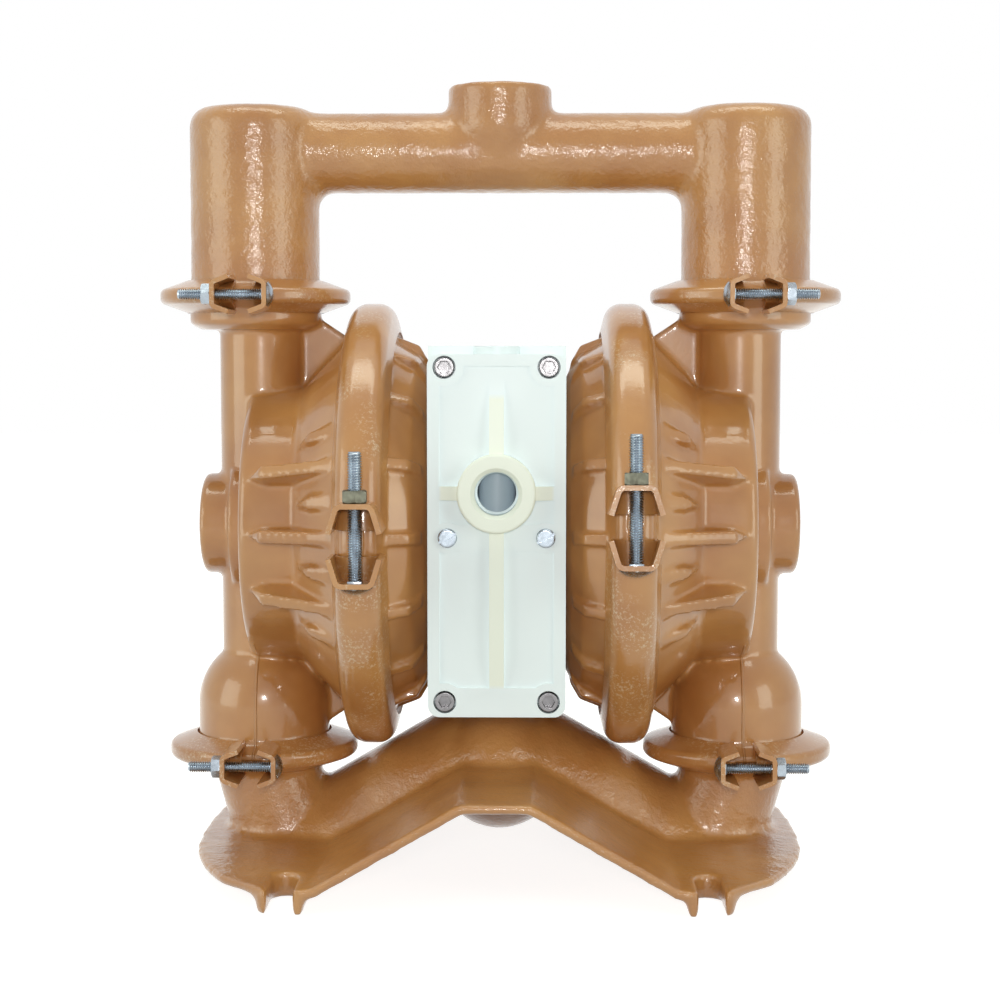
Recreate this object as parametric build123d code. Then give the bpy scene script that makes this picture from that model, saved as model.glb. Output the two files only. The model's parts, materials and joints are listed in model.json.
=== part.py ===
from build123d import *
from dataclasses import dataclass
import math
import os

os.makedirs("parts", exist_ok=True)

# An air operated double diaphragm pump, clamped together from metal castings.
# Millimetres. X runs along the shaft, -Y is the front with the air valve, Z is up.
# The origin is on the floor, under the middle of the pump.

# Named clearances
running_gap = 0.05
bolt_gap = 0.5
seat_gap = 0.1
stop_gap = 0.3

# Working stroke of the shaft and lift of the balls
half_stroke = 17.5
ball_lift = 16.0
pilot_travel = 5.0
spool_travel = 12.0

# Walls of the castings
chamber_wall = 6.5
manifold_wall = 6.0


@dataclass
class Clamp:
    """Sizes of one kind of clamp band, its ears and its bolts."""

    foot_radius: float
    depth: float
    foot_half: float
    top_half: float
    corner: float
    sheet: float
    rim_play: float
    bolt_out: float
    ear_web: float
    ear_leg: float
    ear_flat: float
    ear_half: float
    ear_bend: float
    ear_beyond: float
    bolt_radius: float
    head_radius: float
    head_height: float
    nut_across: float
    nut_height: float
    bolt_tip: float

    @property
    def top_radius(self):
        """Outside of the band."""
        return self.foot_radius + self.depth

    @property
    def flange_radius(self):
        """Rim of the flanges that the band draws together."""
        return self.top_radius - self.sheet - self.rim_play

    @property
    def bolt_reach(self):
        """From the band's middle out to its bolts."""
        return self.top_radius + self.bolt_out

    @property
    def ear_out(self):
        """From the band's middle out to the ends of its ears."""
        return self.bolt_reach + self.ear_beyond

    def slope(self):
        """How fast the channel narrows from its feet to its crown."""
        return (self.foot_half - self.top_half) / self.depth

    def half_width(self, radius, inset):
        """Half the channel's width at a radius, its flanks moved in by inset."""
        side = inset * math.sqrt(1 + self.slope() ** 2)
        return self.foot_half - side - self.slope() * (radius - self.foot_radius)


large = Clamp(
    foot_radius=114.5,
    depth=16.9,
    foot_half=15.2,
    top_half=11.0,
    corner=10.2,
    sheet=2.8,
    rim_play=2.1,
    bolt_out=7.4,
    ear_web=22.7,
    ear_leg=7.2,
    ear_flat=10.2,
    ear_half=15.0,
    ear_bend=5.2,
    ear_beyond=9.4,
    bolt_radius=3.97,
    head_radius=9.5,
    head_height=3.6,
    nut_across=12.7,
    nut_height=6.8,
    bolt_tip=50.0,
)
small = Clamp(
    foot_radius=40.5,
    depth=15.9,
    foot_half=9.6,
    top_half=3.8,
    corner=3.8,
    sheet=2.6,
    rim_play=2.0,
    bolt_out=10.1,
    ear_web=16.0,
    ear_leg=6.2,
    ear_flat=7.4,
    ear_half=11.2,
    ear_bend=3.8,
    ear_beyond=8.0,
    bolt_radius=3.17,
    head_radius=7.4,
    head_height=3.2,
    nut_across=11.1,
    nut_height=5.6,
    bolt_tip=35.0,
)
large_turn_right = -3.9

# Main layout: the shaft lies as high as its bands need, and the rest is stacked on it
band_floor_z = 67.2
band_x = 75.0
outlet_x = 146.0
inlet_x = 143.0
lower_joint_z = 63.5
outlet_rise = 135.4
shaft_z = band_floor_z + large.top_radius
upper_joint_z = shaft_z + outlet_rise

# Liquid chambers: radii about the shaft line at distances from the middle
diaphragm_thickness = 5.0
shoulder_drop = 5.5
root_drop = 2.0
shoulder_width = 15.5
cone_length = 35.0
cone_drop = 20.0
drum_length = 72.0
drum_shoulder = 6.0
drum_drop = 7.0
drum_draft = 1.0
step_boss_radius = 40.0
step_boss_height = 12.0
end_boss_radius = 30.0
end_boss_height = 18.0
column_radius = 24.5
column_bore = 18.5
collar_drop = 1.5
collar_length = 19.5
collar_edge = 7.0
dome_gap = 1.25
dome_rise = 27.0
web_thickness = 7.0
web_overlap = 7.0
web_depth = 45.0
rib_width = 7.4
rib_point = 9.0
long_rib_length = 66.0
short_rib_length = 38.0
end_rib_length = 31.0
liquid_rib_step = 11.25
mouth_drop = 14.5

# Air chambers
air_face_x = 38.0
air_floor = 7.0
air_dish_drop = 42.5
air_rim_drop = 30.5
air_rib_count = 16
air_rib_width = 6.6
air_rib_height = 4.5

# Centre section and air valve, heights measured from the shaft
block_half_depth = 74.0
block_below = 94.6
block_above = 103.4
block_edge = 3.0
gasket_thickness = 1.0
gasket_margin = 1.0
valve_thickness = 33.0
valve_plate_depth = 12.0
plate_below = 98.2
plate_above = 101.7
valve_above = 106.1
plate_corner = 6.5
panel_depth = 1.3
panel_border = 6.6
panel_foot = 16.3
flush_band_half = 7.2
port_above = 25.7
port_radius = 12.0
port_throat_radius = 10.8
port_floor = 1.0
port_lip = 2.2
hub_radius = 21.65
hub_out = 8.0
hub_edge = 1.5
spine_width = 8.0
spine_height = 4.0
spine_low_tip = 91.6
spine_low_flat = 62.6
spine_top_flat = 57.4
spine_top_tip = 89.9
cross_rib_height = 7.6
screw_collar_radius = 10.5
slotted_collar_radius = 8.5
corner_screw_x = 28.6
corner_screw_low = 8.4
corner_screw_top = 7.2
corner_screw_radius = 3.97
corner_head_radius = 5.4
corner_head_room = 0.9
corner_head_height = 7.9
corner_socket_across = 6.35
corner_nut_across = 13.0
corner_nut_height = 6.5
thread_beyond_nut = 1.5
slotted_x = 27.0
slotted_above = 1.1
slotted_head_radius = 5.3
slotted_head_height = 2.6
slotted_radius = 2.4
slotted_bite = 12.0
spool_setback = 15.0
spool_radius = 10.5
spool_below = 58.6
spool_end_land = 30.0
spool_waist_low = 22.0
spool_middle_land = 52.0
spool_top_land = 24.0
spool_waist_depth = 3.0
cap_radius = 14.0
cap_seat = 12.0
cap_sunk = 0.4
cap_groove = 3.0
cap_groove_width = 3.4
oring_thickness = 1.5
groove_room = 0.2
air_slot_spacing = 24.0
air_slot_width = 24.0
air_slot_height = 9.0
air_slot_depth = 48.0
muffler_plate_depth = 14.0
exhaust_below = 26.6
exhaust_bore = 14.6
exhaust_wall = 7.0
exhaust_lip = 6.0
exhaust_room_width = 40.0
exhaust_room_height = 60.0

# Shaft line
shaft_radius = 11.0
stud_radius = 8.0
inner_piston_depth = 6.0
piston_radius = 52.0
outer_piston_depth = 13.5
stud_length = 17.5
pilot_below = 36.0
pilot_radius = 5.0
sleeve_radius = 8.5
bushing_radius = 14.5
bushing_half = 28.0
seal_width = 4.0
fold_gap = 3.0
fold_depth = 9.0
bead_gap = 2.0
chamber_screw_y = 30.0
chamber_screw_z = 58.0
chamber_screw_radius = 3.97
chamber_head_across = 12.7
chamber_head_height = 5.2
chamber_screw_depth = 16.0

# Ball valves
ball_radius = 25.4
seat_bore = 19.5
seat_radius = 36.0
seat_height = 12.0
ball_above_seat = 14.5
cage_radius = 33.5
cage_rib_width = 5.0
cage_stop_radius = 11.0
cage_stop_height = 7.0

# Discharge manifold, heights measured from its joints
elbow_radius = 38.3
elbow_above = 112.5
elbow_edge = 11.0
elbow_crown = 1.5
flange_root = 4.0
bar_radius = 23.75
bar_bore = 17.5
bar_drop = 27.5
bar_fillet = 9.0
boss_radius = 30.7
boss_above = 11.5
boss_edge = 1.5
boss_base = 13.0
boss_taper = 14.0
boss_fillet = 4.0
outlet_thread_radius = 19.4
outlet_thread_length = 18.5
outlet_throat_radius = 16.5
port_chamfer = 2.0

# Inlet manifold with its feet
foot_top_z = 14.6
plate_thickness = 6.0
plate_half_length = 150.0
plate_front_cut = 54.0
plate_corner_in = 25.2
plate_corner_back = 29.5
plate_side_back = 82.0
plate_front_round = 6
plate_corner_round = 20
plate_side_round = 200
plate_half_width = 178.0
plate_bend_x = 99.5
slant = 30.0
flat_top_z = 60.7
duct_radius = 46.0
duct_top_z = 89.4
leg_top_radius = 32.0
leg_foot_radius = 35.0
leg_lean = 15.5
leg_neck = 5.0
inlet_boss_radius = 37.0
inlet_boss_z = 54.0
inlet_boss_beyond = 2.0
inlet_thread_radius = 22.0
inlet_thread_length = 38.0
inlet_nose = 16.1
notch_x = 116.0
notch_width = 13.6
notch_depth = 37.0
notch_wall = 6.5

# Heights, distances and radii that follow
dome_centre_z = lower_joint_z + dome_rise
collar_low_z = upper_joint_z - collar_length
collar_radius = small.foot_radius - collar_drop
dome_radius = small.foot_radius - dome_gap
chamber_shoulder = large.foot_radius - shoulder_drop
root_radius = large.foot_radius - root_drop
cone_end_radius = chamber_shoulder - cone_drop
drum_radius = cone_end_radius - drum_drop
shoulder_x = band_x + shoulder_width
cone_end_x = band_x + cone_length
drum_x = cone_end_x + drum_shoulder
drum_end_x = band_x + drum_length
step_boss_x = drum_end_x + step_boss_height
end_boss_x = step_boss_x + end_boss_height
air_floor_x = air_face_x + air_floor
block_low_z = shaft_z - block_below
block_top_z = shaft_z + block_above
half_width = air_face_x
valve_back_y = -block_half_depth - gasket_thickness
valve_face_y = valve_back_y - valve_thickness
spool_y = valve_back_y - spool_setback
valve_plate_low_z = shaft_z - plate_below
valve_plate_top_z = shaft_z + plate_above
valve_top_z = shaft_z + valve_above
port_z = shaft_z + port_above
slotted_z = shaft_z + slotted_above
exhaust_z = shaft_z - exhaust_below
pilot_z = shaft_z - pilot_below
muffler_front_y = block_half_depth + gasket_thickness
plate_back_y = muffler_front_y + muffler_plate_depth
cap_low_z = valve_top_z - cap_seat
cap_top_z = valve_top_z - cap_sunk
spool_low_z = shaft_z - spool_below
spool_top_z = cap_low_z - spool_travel - stop_gap
joint_out_x = band_x + diaphragm_thickness / 2
joint_in_x = band_x - diaphragm_thickness / 2
shaft_shoulder_x = joint_in_x - inner_piston_depth
outer_piston_x = joint_out_x + outer_piston_depth
stud_tip_x = shaft_shoulder_x + stud_length
elbow_top_z = upper_joint_z + elbow_above
bar_z = elbow_top_z - bar_drop
boss_top_z = elbow_top_z + boss_above
leg_foot_x = inlet_x - leg_lean
inlet_face_y = plate_half_length - inlet_boss_beyond
rim_radius = large.flange_radius
rim_rounding = large.corner - large.sheet
bend_shift = plate_thickness * math.tan(math.radians(slant / 2))
flat_half = plate_bend_x - (flat_top_z - foot_top_z) / math.tan(math.radians(slant))

# Places of what repeats
both = (-1, 1)
corner_rows = (valve_plate_low_z + corner_screw_low, valve_plate_top_z - corner_screw_top)
corner_spots = [(side * corner_screw_x, z) for side in both for z in corner_rows]
slotted_spots = [(side * slotted_x, slotted_z) for side in both]
air_slots = [(0, shaft_z + turn * air_slot_spacing) for turn in (-1, 0, 1)]
air_slot_size = (air_slot_width, air_slot_height)
exhaust_room = (exhaust_room_width, exhaust_room_height)
chamber_screw_spots = [
    (y * chamber_screw_y, shaft_z + z * chamber_screw_z) for y in both for z in both
]


def dome(radius):
    """The upper half of a ball, standing on the origin."""
    return Sphere(radius, 0, 90, align=(Align.CENTER, Align.CENTER, Align.MIN))


def outline(corners):
    """A flat face from corners given as (across, up, rounding)."""
    points = [(across, up) for across, up, rounding in corners]
    radii = [rounding for across, up, rounding in corners]
    return make_face(FilletPolyline(*points, radius=radii, close=True))


def turned_upright(corners):
    """A body turned about Z from a half section of (radius, height, rounding)."""
    return revolve(Plane.XZ * outline(corners), Axis.Z)


def turned_lengthwise(corners):
    """A body turned about the shaft line from a half section of (x, radius, rounding)."""
    return Pos(0, 0, shaft_z) * revolve(Plane.XZ * outline(corners), Axis.X)


def rod(radius, start, end):
    """A round bar between two points."""
    line = Vector(*end) - Vector(*start)
    return extrude(Plane(origin=start, z_dir=line.normalized()) * Circle(radius), line.length)


def tube(outer, inner, start, end):
    """A round bar with a hole through it."""
    return rod(outer, start, end) - rod(inner, start, end)


def block(low, high):
    """A box between two opposite corners."""
    size = [b - a for a, b in zip(low, high)]
    centre = [(a + b) / 2 for a, b in zip(low, high)]
    return Pos(*centre) * Box(*size)


def other_side(shape):
    """The same piece on the left of the pump."""
    return mirror(shape, about=Plane.YZ)


def save(name, *solids):
    """Writes one node, with one solid or a group of like solids."""
    shape = solids[0] if len(solids) == 1 else Compound(children=list(solids))
    export_step(shape, f"parts/{name}.step")


# Clamp bands: a channel rolled round two flanges, in halves with an ear at each end.
# They are drawn about Z, split across X, with their bolts along X in front and behind.
def clamp_channel(clamp, inset, core):
    """The channel's section as a ring, moved in by inset, with core corners below its feet."""
    top = clamp.top_radius - inset
    foot = clamp.half_width(clamp.foot_radius, inset)
    crown = clamp.half_width(top, inset)
    rounding = clamp.corner - inset
    feet = [(0, foot, 0), (0, -foot, 0)] if core else []
    corners = [
        (clamp.foot_radius, -foot, 0),
        (top, -crown, rounding),
        (top, crown, rounding),
        (clamp.foot_radius, foot, 0),
    ]
    return turned_upright(corners + feet)


def clamp_ear(clamp):
    """The bent strap that carries one bolt, at the front of the half on +X."""
    path = FilletPolyline(
        (clamp.ear_leg, -clamp.ear_half),
        (clamp.ear_web, -clamp.ear_flat),
        (clamp.ear_web, clamp.ear_flat),
        (clamp.ear_leg, clamp.ear_half),
        radius=clamp.ear_bend,
    )
    inner = offset(path, clamp.sheet, side=Side.LEFT, closed=True)
    return extrude(Plane.XZ * make_face(inner), clamp.ear_out)


def clamp_half(clamp, square_hole):
    """One half of a band with both its ears, on the +X side of the split."""
    shell = clamp_channel(clamp, 0, False)
    span = 2 * clamp.ear_out
    shell = shell & block((clamp.ear_leg, -span, -span), (span, span, span))
    front = clamp_ear(clamp)
    ears = front + mirror(front, about=Plane.XZ)
    ears = ears - Cylinder(clamp.foot_radius + clamp.sheet, 4 * clamp.ear_half)
    half = shell + ears - clamp_channel(clamp, clamp.sheet, True)
    for side in (-1, 1):
        place = Pos(clamp.ear_web, side * clamp.bolt_reach, 0)
        if square_hole:
            width = 2 * (clamp.bolt_radius + seat_gap)
            half = half - place * Box(6 * clamp.sheet, width, width)
        else:
            along = place * Rot(0, 90, 0)
            half = half - along * Cylinder(clamp.bolt_radius + bolt_gap, 6 * clamp.sheet)
    return half


def carriage_bolt(clamp, side):
    """A round headed bolt with a square neck, its head outside the -X ear."""
    head_face = -clamp.ear_web
    width = 2 * clamp.bolt_radius
    shank = rod(clamp.bolt_radius, (head_face, 0, 0), (clamp.bolt_tip, 0, 0))
    neck = Pos(head_face + clamp.sheet / 2, 0, 0) * Box(clamp.sheet, width, width)
    crown = (clamp.head_radius**2 + clamp.head_height**2) / (2 * clamp.head_height)
    head = Pos(head_face - clamp.head_height + crown, 0, 0) * Sphere(crown)
    head = head & rod(clamp.head_radius, (head_face - 2 * clamp.head_height, 0, 0), (head_face, 0, 0))
    return Pos(0, side * clamp.bolt_reach, 0) * (shank + neck + head)


def clamp_nut(clamp, side):
    """A hexagon nut against the outside of the +X ear."""
    hexagon = RegularPolygon(clamp.nut_across / 2, 6, major_radius=False)
    nut = Rot(0, 90, 0) * extrude(hexagon - Circle(clamp.bolt_radius + running_gap), clamp.nut_height)
    return Pos(clamp.ear_web, side * clamp.bolt_reach, 0) * nut


def large_place(side):
    """Where a large band sits: split level with the shaft, its bolts upright."""
    turn = large_turn_right if side > 0 else 0
    return Pos(side * band_x, 0, shaft_z) * Rot(turn, 0, 0) * Rot(0, -90, 0)


def small_place(side, height):
    """Where a small band sits: its nuts point outward and its bolt heads inward."""
    across = outlet_x if height == upper_joint_z else inlet_x
    facing = Rot(0, 0, 0) if side > 0 else Rot(0, 0, 180)
    return Pos(side * across, 0, height) * facing


small_places = {
    "upper_left": small_place(-1, upper_joint_z),
    "upper_right": small_place(1, upper_joint_z),
    "lower_left": small_place(-1, lower_joint_z),
    "lower_right": small_place(1, lower_joint_z),
}
large_places = {"left": large_place(-1), "right": large_place(1)}

large_upper = clamp_half(large, False)
large_lower = mirror(clamp_half(large, True), about=Plane.YZ)
small_outer = clamp_half(small, False)
small_inner = mirror(clamp_half(small, True), about=Plane.YZ)

for name, place in large_places.items():
    save(f"large_clamp_{name}_upper", place * large_upper)
    save(f"large_clamp_{name}_lower", place * large_lower)
for name, place in small_places.items():
    save(f"small_clamp_{name}_outer", place * small_outer)
    save(f"small_clamp_{name}_inner", place * small_inner)

save("large_clamp_bolts", *[p * carriage_bolt(large, s) for p in large_places.values() for s in both])
save("large_clamp_nuts", *[p * clamp_nut(large, s) for p in large_places.values() for s in both])
save("small_clamp_bolts", *[p * carriage_bolt(small, s) for p in small_places.values() for s in both])
save("small_clamp_nuts", *[p * clamp_nut(small, s) for p in small_places.values() for s in both])


# Chamber castings. All are drawn for the right side, along +X about the shaft line.
def flank_at(radius):
    """How far a clamped flange reaches from the band's middle plane at a radius."""
    return large.half_width(radius, large.sheet)


def rib(profile, width, reach, tip_length):
    """An upright rib over the shaft line with a pointed end at reach."""
    wall = extrude(Plane.XZ * outline([(x, r, 0) for x, r in profile]), width / 2, both=True)
    start = profile[0][0]
    inside = reach - math.copysign(tip_length, reach - start)
    side = width / 2
    plan = Polyline((start, -side), (inside, -side), (reach, 0), (inside, side), (start, side), close=True)
    return wall & extrude(make_face(plan), 2 * rim_radius)


def round_the_shaft(shape, angle):
    """Turns a piece that stands over the shaft line to an angle, 0 being the front."""
    return Pos(0, 0, shaft_z) * Rot(90 - angle, 0, 0) * shape


def liquid_ribs():
    """Nine ribs in front and nine behind, over the cone of the liquid chamber."""
    start = shoulder_x - 2
    crest = chamber_shoulder + 1
    base = drum_radius - chamber_wall / 2
    ribs = []
    for step in range(-4, 5):
        long = step % 2 == 0 and abs(step) < 4
        if long:
            reach = band_x + long_rib_length
            top = [(cone_end_x - 6, crest - 7), (reach - 8, cone_end_radius + 5), (reach, drum_radius)]
        else:
            reach = band_x + (end_rib_length if abs(step) == 4 else short_rib_length)
            top = [(reach - 6, crest - 11), (reach, cone_end_radius)]
        one = rib([(start, base), (start, crest)] + top + [(reach, base)], rib_width, reach, rib_point)
        angle = liquid_rib_step * step
        ribs.append(round_the_shaft(one, angle))
        ribs.append(round_the_shaft(one, 180 - angle))
    return ribs


def cage_fins(seat_top):
    """Four fins that guide a ball and stop its lift, drawn round Z."""
    low = seat_top + manifold_wall - 2
    rise = math.sqrt(ball_radius**2 - cage_stop_radius**2)
    stop = seat_top + ball_above_seat + ball_lift + rise + stop_gap
    guide = ball_radius + 2 * bolt_gap
    outside = cage_radius + 2
    fin = outline(
        [
            (outside, low - 2, 0),
            (guide, low + 2, 0),
            (guide, stop, 0),
            (cage_stop_radius, stop, 0),
            (cage_stop_radius, stop + cage_stop_height, 0),
            (outside, stop + 2 * cage_stop_height, 0),
        ]
    )
    one = extrude(Plane.XZ * fin, cage_rib_width / 2, both=True)
    return [Rot(0, 0, quarter) * one for quarter in (45, 135, 225, 315)]


def seat_pocket(joint_z):
    """The room for a ball seat, half in each flange."""
    half = seat_height / 2
    return rod(seat_radius + seat_gap, (0, 0, joint_z - half), (0, 0, joint_z + half))


def joint_flange(joint_z, up):
    """The V shaped flange at one ball valve, above or below its joint plane."""
    rim_half = small.half_width(small.flange_radius, small.sheet)
    root_half = small.half_width(collar_radius, small.sheet)
    ring = turned_upright(
        [
            (0, 0, 0),
            (small.flange_radius, 0, 0),
            (small.flange_radius, rim_half, 0),
            (collar_radius, root_half, 0),
            (0, root_half, 0),
        ]
    )
    return Pos(0, 0, joint_z) * (ring if up else mirror(ring, about=Plane.XY))


def column_web(end_z, shoulder, turn):
    """A flat web between the flange's shoulder and one end of the flow column."""
    near = shoulder_x - chamber_wall
    corners = [
        (near, shoulder, 0),
        (cone_end_x - 2, end_z, 0),
        (inlet_x - 3, end_z, 0),
        (inlet_x - 3, end_z + turn * web_depth, 0),
        (cone_end_x, end_z + turn * (web_depth + 4), 0),
        (shoulder_x, shoulder + turn * 14, 0),
    ]
    return extrude(Plane.XZ * outline(corners), web_thickness / 2, both=True)


def liquid_chamber():
    """The outer casting: a drum with its flow column, two valve flanges and ribs."""
    flange = [
        (joint_out_x, 0, 0),
        (joint_out_x, rim_radius, 0),
        (band_x + flank_at(rim_radius), rim_radius, rim_rounding),
        (band_x + flank_at(root_radius), root_radius, 0),
    ]
    drum = turned_lengthwise(
        flange
        + [
            (shoulder_x, chamber_shoulder, 3),
            (cone_end_x, cone_end_radius, 2),
            (drum_x, drum_radius, 2),
            (drum_end_x, drum_radius - drum_draft, 5),
            (drum_end_x, step_boss_radius, 2),
            (step_boss_x, step_boss_radius, 2),
            (step_boss_x, end_boss_radius, 2),
            (end_boss_x, end_boss_radius, 3),
            (end_boss_x, 0, 0),
        ]
    )
    column = Pos(inlet_x, 0, 0) * rod(column_radius, (0, 0, dome_centre_z), (0, 0, collar_low_z + 2))
    elbow = Pos(inlet_x, 0, 0) * (
        rod(dome_radius, (0, 0, lower_joint_z), (0, 0, dome_centre_z))
        + Pos(0, 0, dome_centre_z) * dome(dome_radius)
        + joint_flange(lower_joint_z, True)
    )
    collar_top_z = upper_joint_z - flange_root
    collar = turned_upright(
        [
            (0, collar_low_z, 0),
            (collar_radius - collar_edge, collar_low_z, 0),
            (collar_radius, collar_low_z + collar_edge / 2, 3),
            (collar_radius, collar_top_z, 0),
            (0, collar_top_z, 0),
        ]
    )
    collar = Pos(outlet_x, 0, 0) * (collar + joint_flange(upper_joint_z, False))
    webs = [
        column_web(collar_low_z + web_overlap, shaft_z + chamber_shoulder - 2, -1),
        column_web(lower_joint_z + 2 * seat_height / 2, shaft_z - chamber_shoulder + 2, 1),
    ]
    solid = drum + [column, elbow, collar] + webs + liquid_ribs()

    floor_x = drum_end_x - chamber_wall
    mouth = large.foot_radius - mouth_drop
    bowl = turned_lengthwise(
        [
            (joint_out_x, 0, 0),
            (joint_out_x, mouth, 0),
            (shoulder_x - 2.5, mouth, 4),
            (cone_end_x - 4, cone_end_radius - chamber_wall, 3),
            (drum_x - 3, drum_radius - chamber_wall, 3),
            (floor_x, drum_radius - chamber_wall - drum_draft, 5),
            (floor_x, 0, 0),
        ]
    )
    flow = Pos(inlet_x, 0, 0) * rod(column_bore, (0, 0, dome_centre_z), (0, 0, upper_joint_z))
    outlet_mouth = Pos(outlet_x, 0, 0) * rod(column_bore, (0, 0, collar_low_z), (0, 0, upper_joint_z))
    cage = rod(cage_radius, (0, 0, lower_joint_z), (0, 0, dome_centre_z))
    cage = cage + Pos(0, 0, dome_centre_z) * dome(cage_radius)
    fins = [Pos(inlet_x, 0, 0) * fin for fin in cage_fins(lower_joint_z + seat_height / 2)]
    cage = Pos(inlet_x, 0, 0) * (cage + seat_pocket(lower_joint_z)) - fins
    flow = flow - fins
    outlet_pocket = Pos(outlet_x, 0, 0) * seat_pocket(upper_joint_z)
    return solid - [bowl, flow, outlet_mouth, cage, outlet_pocket]


def air_chamber():
    """The inner casting: a ribbed dish that backs the diaphragm with air."""
    rim = large.foot_radius - air_rim_drop
    shell = turned_lengthwise(
        [
            (air_face_x, 0, 0),
            (air_face_x, rim, 3),
            (air_face_x + 3, rim + 7, 4),
            (air_face_x + 10, rim + 17, 6),
            (band_x - flank_at(root_radius) - 1.5, chamber_shoulder - 1, 0),
            (band_x - flank_at(root_radius), root_radius, 0),
            (band_x - flank_at(rim_radius), rim_radius, rim_rounding),
            (joint_in_x, rim_radius, 0),
            (joint_in_x, 0, 0),
        ]
    )
    crest = chamber_shoulder + air_rib_height
    outer_x = band_x - flank_at(root_radius)
    profile = [
        (outer_x, rim + 14),
        (outer_x, crest - 1.5),
        (air_face_x + 10, crest - 7),
        (air_face_x + 4.5, rim + 13),
        (air_face_x + 2.5, rim + 2),
        (air_face_x + 8, rim),
    ]
    one = extrude(Plane.XZ * outline([(x, r, 0) for x, r in profile]), air_rib_width / 2, both=True)
    ribs = [round_the_shaft(one, 360 * turn / air_rib_count) for turn in range(air_rib_count)]
    floor = large.foot_radius - air_dish_drop
    mouth = large.foot_radius - mouth_drop
    dish = turned_lengthwise(
        [
            (air_floor_x, 0, 0),
            (air_floor_x, floor, 6),
            (air_floor_x + 11, mouth - 7, 8),
            (joint_in_x, mouth, 0),
            (joint_in_x, 0, 0),
        ]
    )
    hole = rod(bushing_radius, (air_face_x, 0, shaft_z), (air_floor_x, 0, shaft_z))
    pilot_hole = rod(pilot_radius + bolt_gap, (air_face_x, 0, pilot_z), (air_floor_x, 0, pilot_z))
    solid = shell + ribs - [dish, hole, pilot_hole]
    for spot in chamber_screw_spots:
        solid = solid - chamber_screw_room(spot)
    return solid


def chamber_screw(spot):
    """A hexagon head screw from the air chamber into the centre block."""
    y, z = spot
    face = air_floor_x - chamber_head_height
    shank = rod(chamber_screw_radius, (face - chamber_screw_depth, y, z), (face, y, z))
    hexagon = RegularPolygon(chamber_head_across / 2, 6, major_radius=False)
    head = Pos(face, y, z) * Rot(0, 90, 0) * extrude(hexagon, chamber_head_height - seat_gap)
    return shank + head


def chamber_screw_room(spot):
    """The counterbore and hole for one of those screws."""
    y, z = spot
    face = air_floor_x - chamber_head_height
    hole = rod(chamber_screw_radius + running_gap, (air_face_x, y, z), (air_floor_x, y, z))
    return hole + rod(chamber_head_across * 0.58 + bolt_gap, (face, y, z), (air_floor_x + 1, y, z))


right_liquid_chamber = liquid_chamber()
save("liquid_chamber_right", right_liquid_chamber)
save("liquid_chamber_left", other_side(right_liquid_chamber))
right_air_chamber = air_chamber()
save("air_chamber_right", right_air_chamber)
save("air_chamber_left", other_side(right_air_chamber))
right_chamber_screws = [chamber_screw(spot) for spot in chamber_screw_spots]
save("chamber_screws", *right_chamber_screws, *[other_side(screw) for screw in right_chamber_screws])


# Discharge manifold: two ball cages joined by the bar that the pump is carried by
def near_edges(shape, low, high):
    """The edges whose middles lie in a box."""
    found = []
    for edge in shape.edges():
        middle = edge.center()
        if all(a <= value <= b for a, value, b in zip(low, middle, high)):
            found.append(edge)
    return found


def discharge_manifold():
    """Two elbows over the outlet valves, a bar between them and a port boss on top."""
    elbow_low_z = upper_joint_z + flange_root
    elbow = turned_upright(
        [
            (0, elbow_low_z, 0),
            (elbow_radius, elbow_low_z, 0),
            (elbow_radius, elbow_top_z - elbow_crown, elbow_edge),
            (0, elbow_top_z, 0),
        ]
    )
    bar = rod(bar_radius, (-outlet_x, 0, bar_z), (outlet_x, 0, bar_z))
    solid = bar + [Pos(side * outlet_x, 0, 0) * elbow for side in both]
    low_z = bar_z - bar_radius - 2
    inner_x = outlet_x - elbow_radius
    for side in both:
        ends = sorted((side * (inner_x - 1), side * (inner_x + 10)))
        junction = near_edges(solid, (ends[0], -bar_radius, low_z), (ends[1], bar_radius, elbow_top_z))
        solid = fillet(junction, bar_fillet)
    boss = turned_upright(
        [
            (0, boss_top_z, 0),
            (boss_radius, boss_top_z, boss_edge),
            (boss_radius, bar_z + boss_base, boss_taper),
            (bar_radius - 2, bar_z - 9, 0),
            (0, bar_z - 9, 0),
        ]
    )
    solid = solid + boss
    skirt = near_edges(solid, (-boss_radius, -boss_radius, bar_z - 8), (boss_radius, boss_radius, bar_z + bar_radius))
    solid = fillet([edge for edge in skirt if edge.length > bar_radius / 2], boss_fillet)

    cavity_top = bar_z + bar_bore
    cage = turned_upright(
        [
            (0, upper_joint_z, 0),
            (cage_radius - 1, upper_joint_z, 0),
            (cage_radius - 1, cavity_top, 8),
            (0, cavity_top, 0),
        ]
    )
    cage = cage - cage_fins(upper_joint_z + seat_height / 2) + seat_pocket(upper_joint_z)
    bore = rod(bar_bore, (-outlet_x, 0, bar_z), (outlet_x, 0, bar_z))
    port_floor_z = boss_top_z - port_chamfer - outlet_thread_length
    port = rod(outlet_thread_radius, (0, 0, port_floor_z), (0, 0, boss_top_z))
    port = port + rod(outlet_throat_radius, (0, 0, bar_z), (0, 0, port_floor_z))
    solid = solid + [Pos(side * outlet_x, 0, 0) * joint_flange(upper_joint_z, True) for side in both]
    solid = solid - [bore, port] - [Pos(side * outlet_x, 0, 0) * cage for side in both]
    mouth = Cone(outlet_thread_radius, outlet_thread_radius + port_chamfer, port_chamfer)
    return solid - Pos(0, 0, boss_top_z - port_chamfer / 2) * mouth


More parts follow.
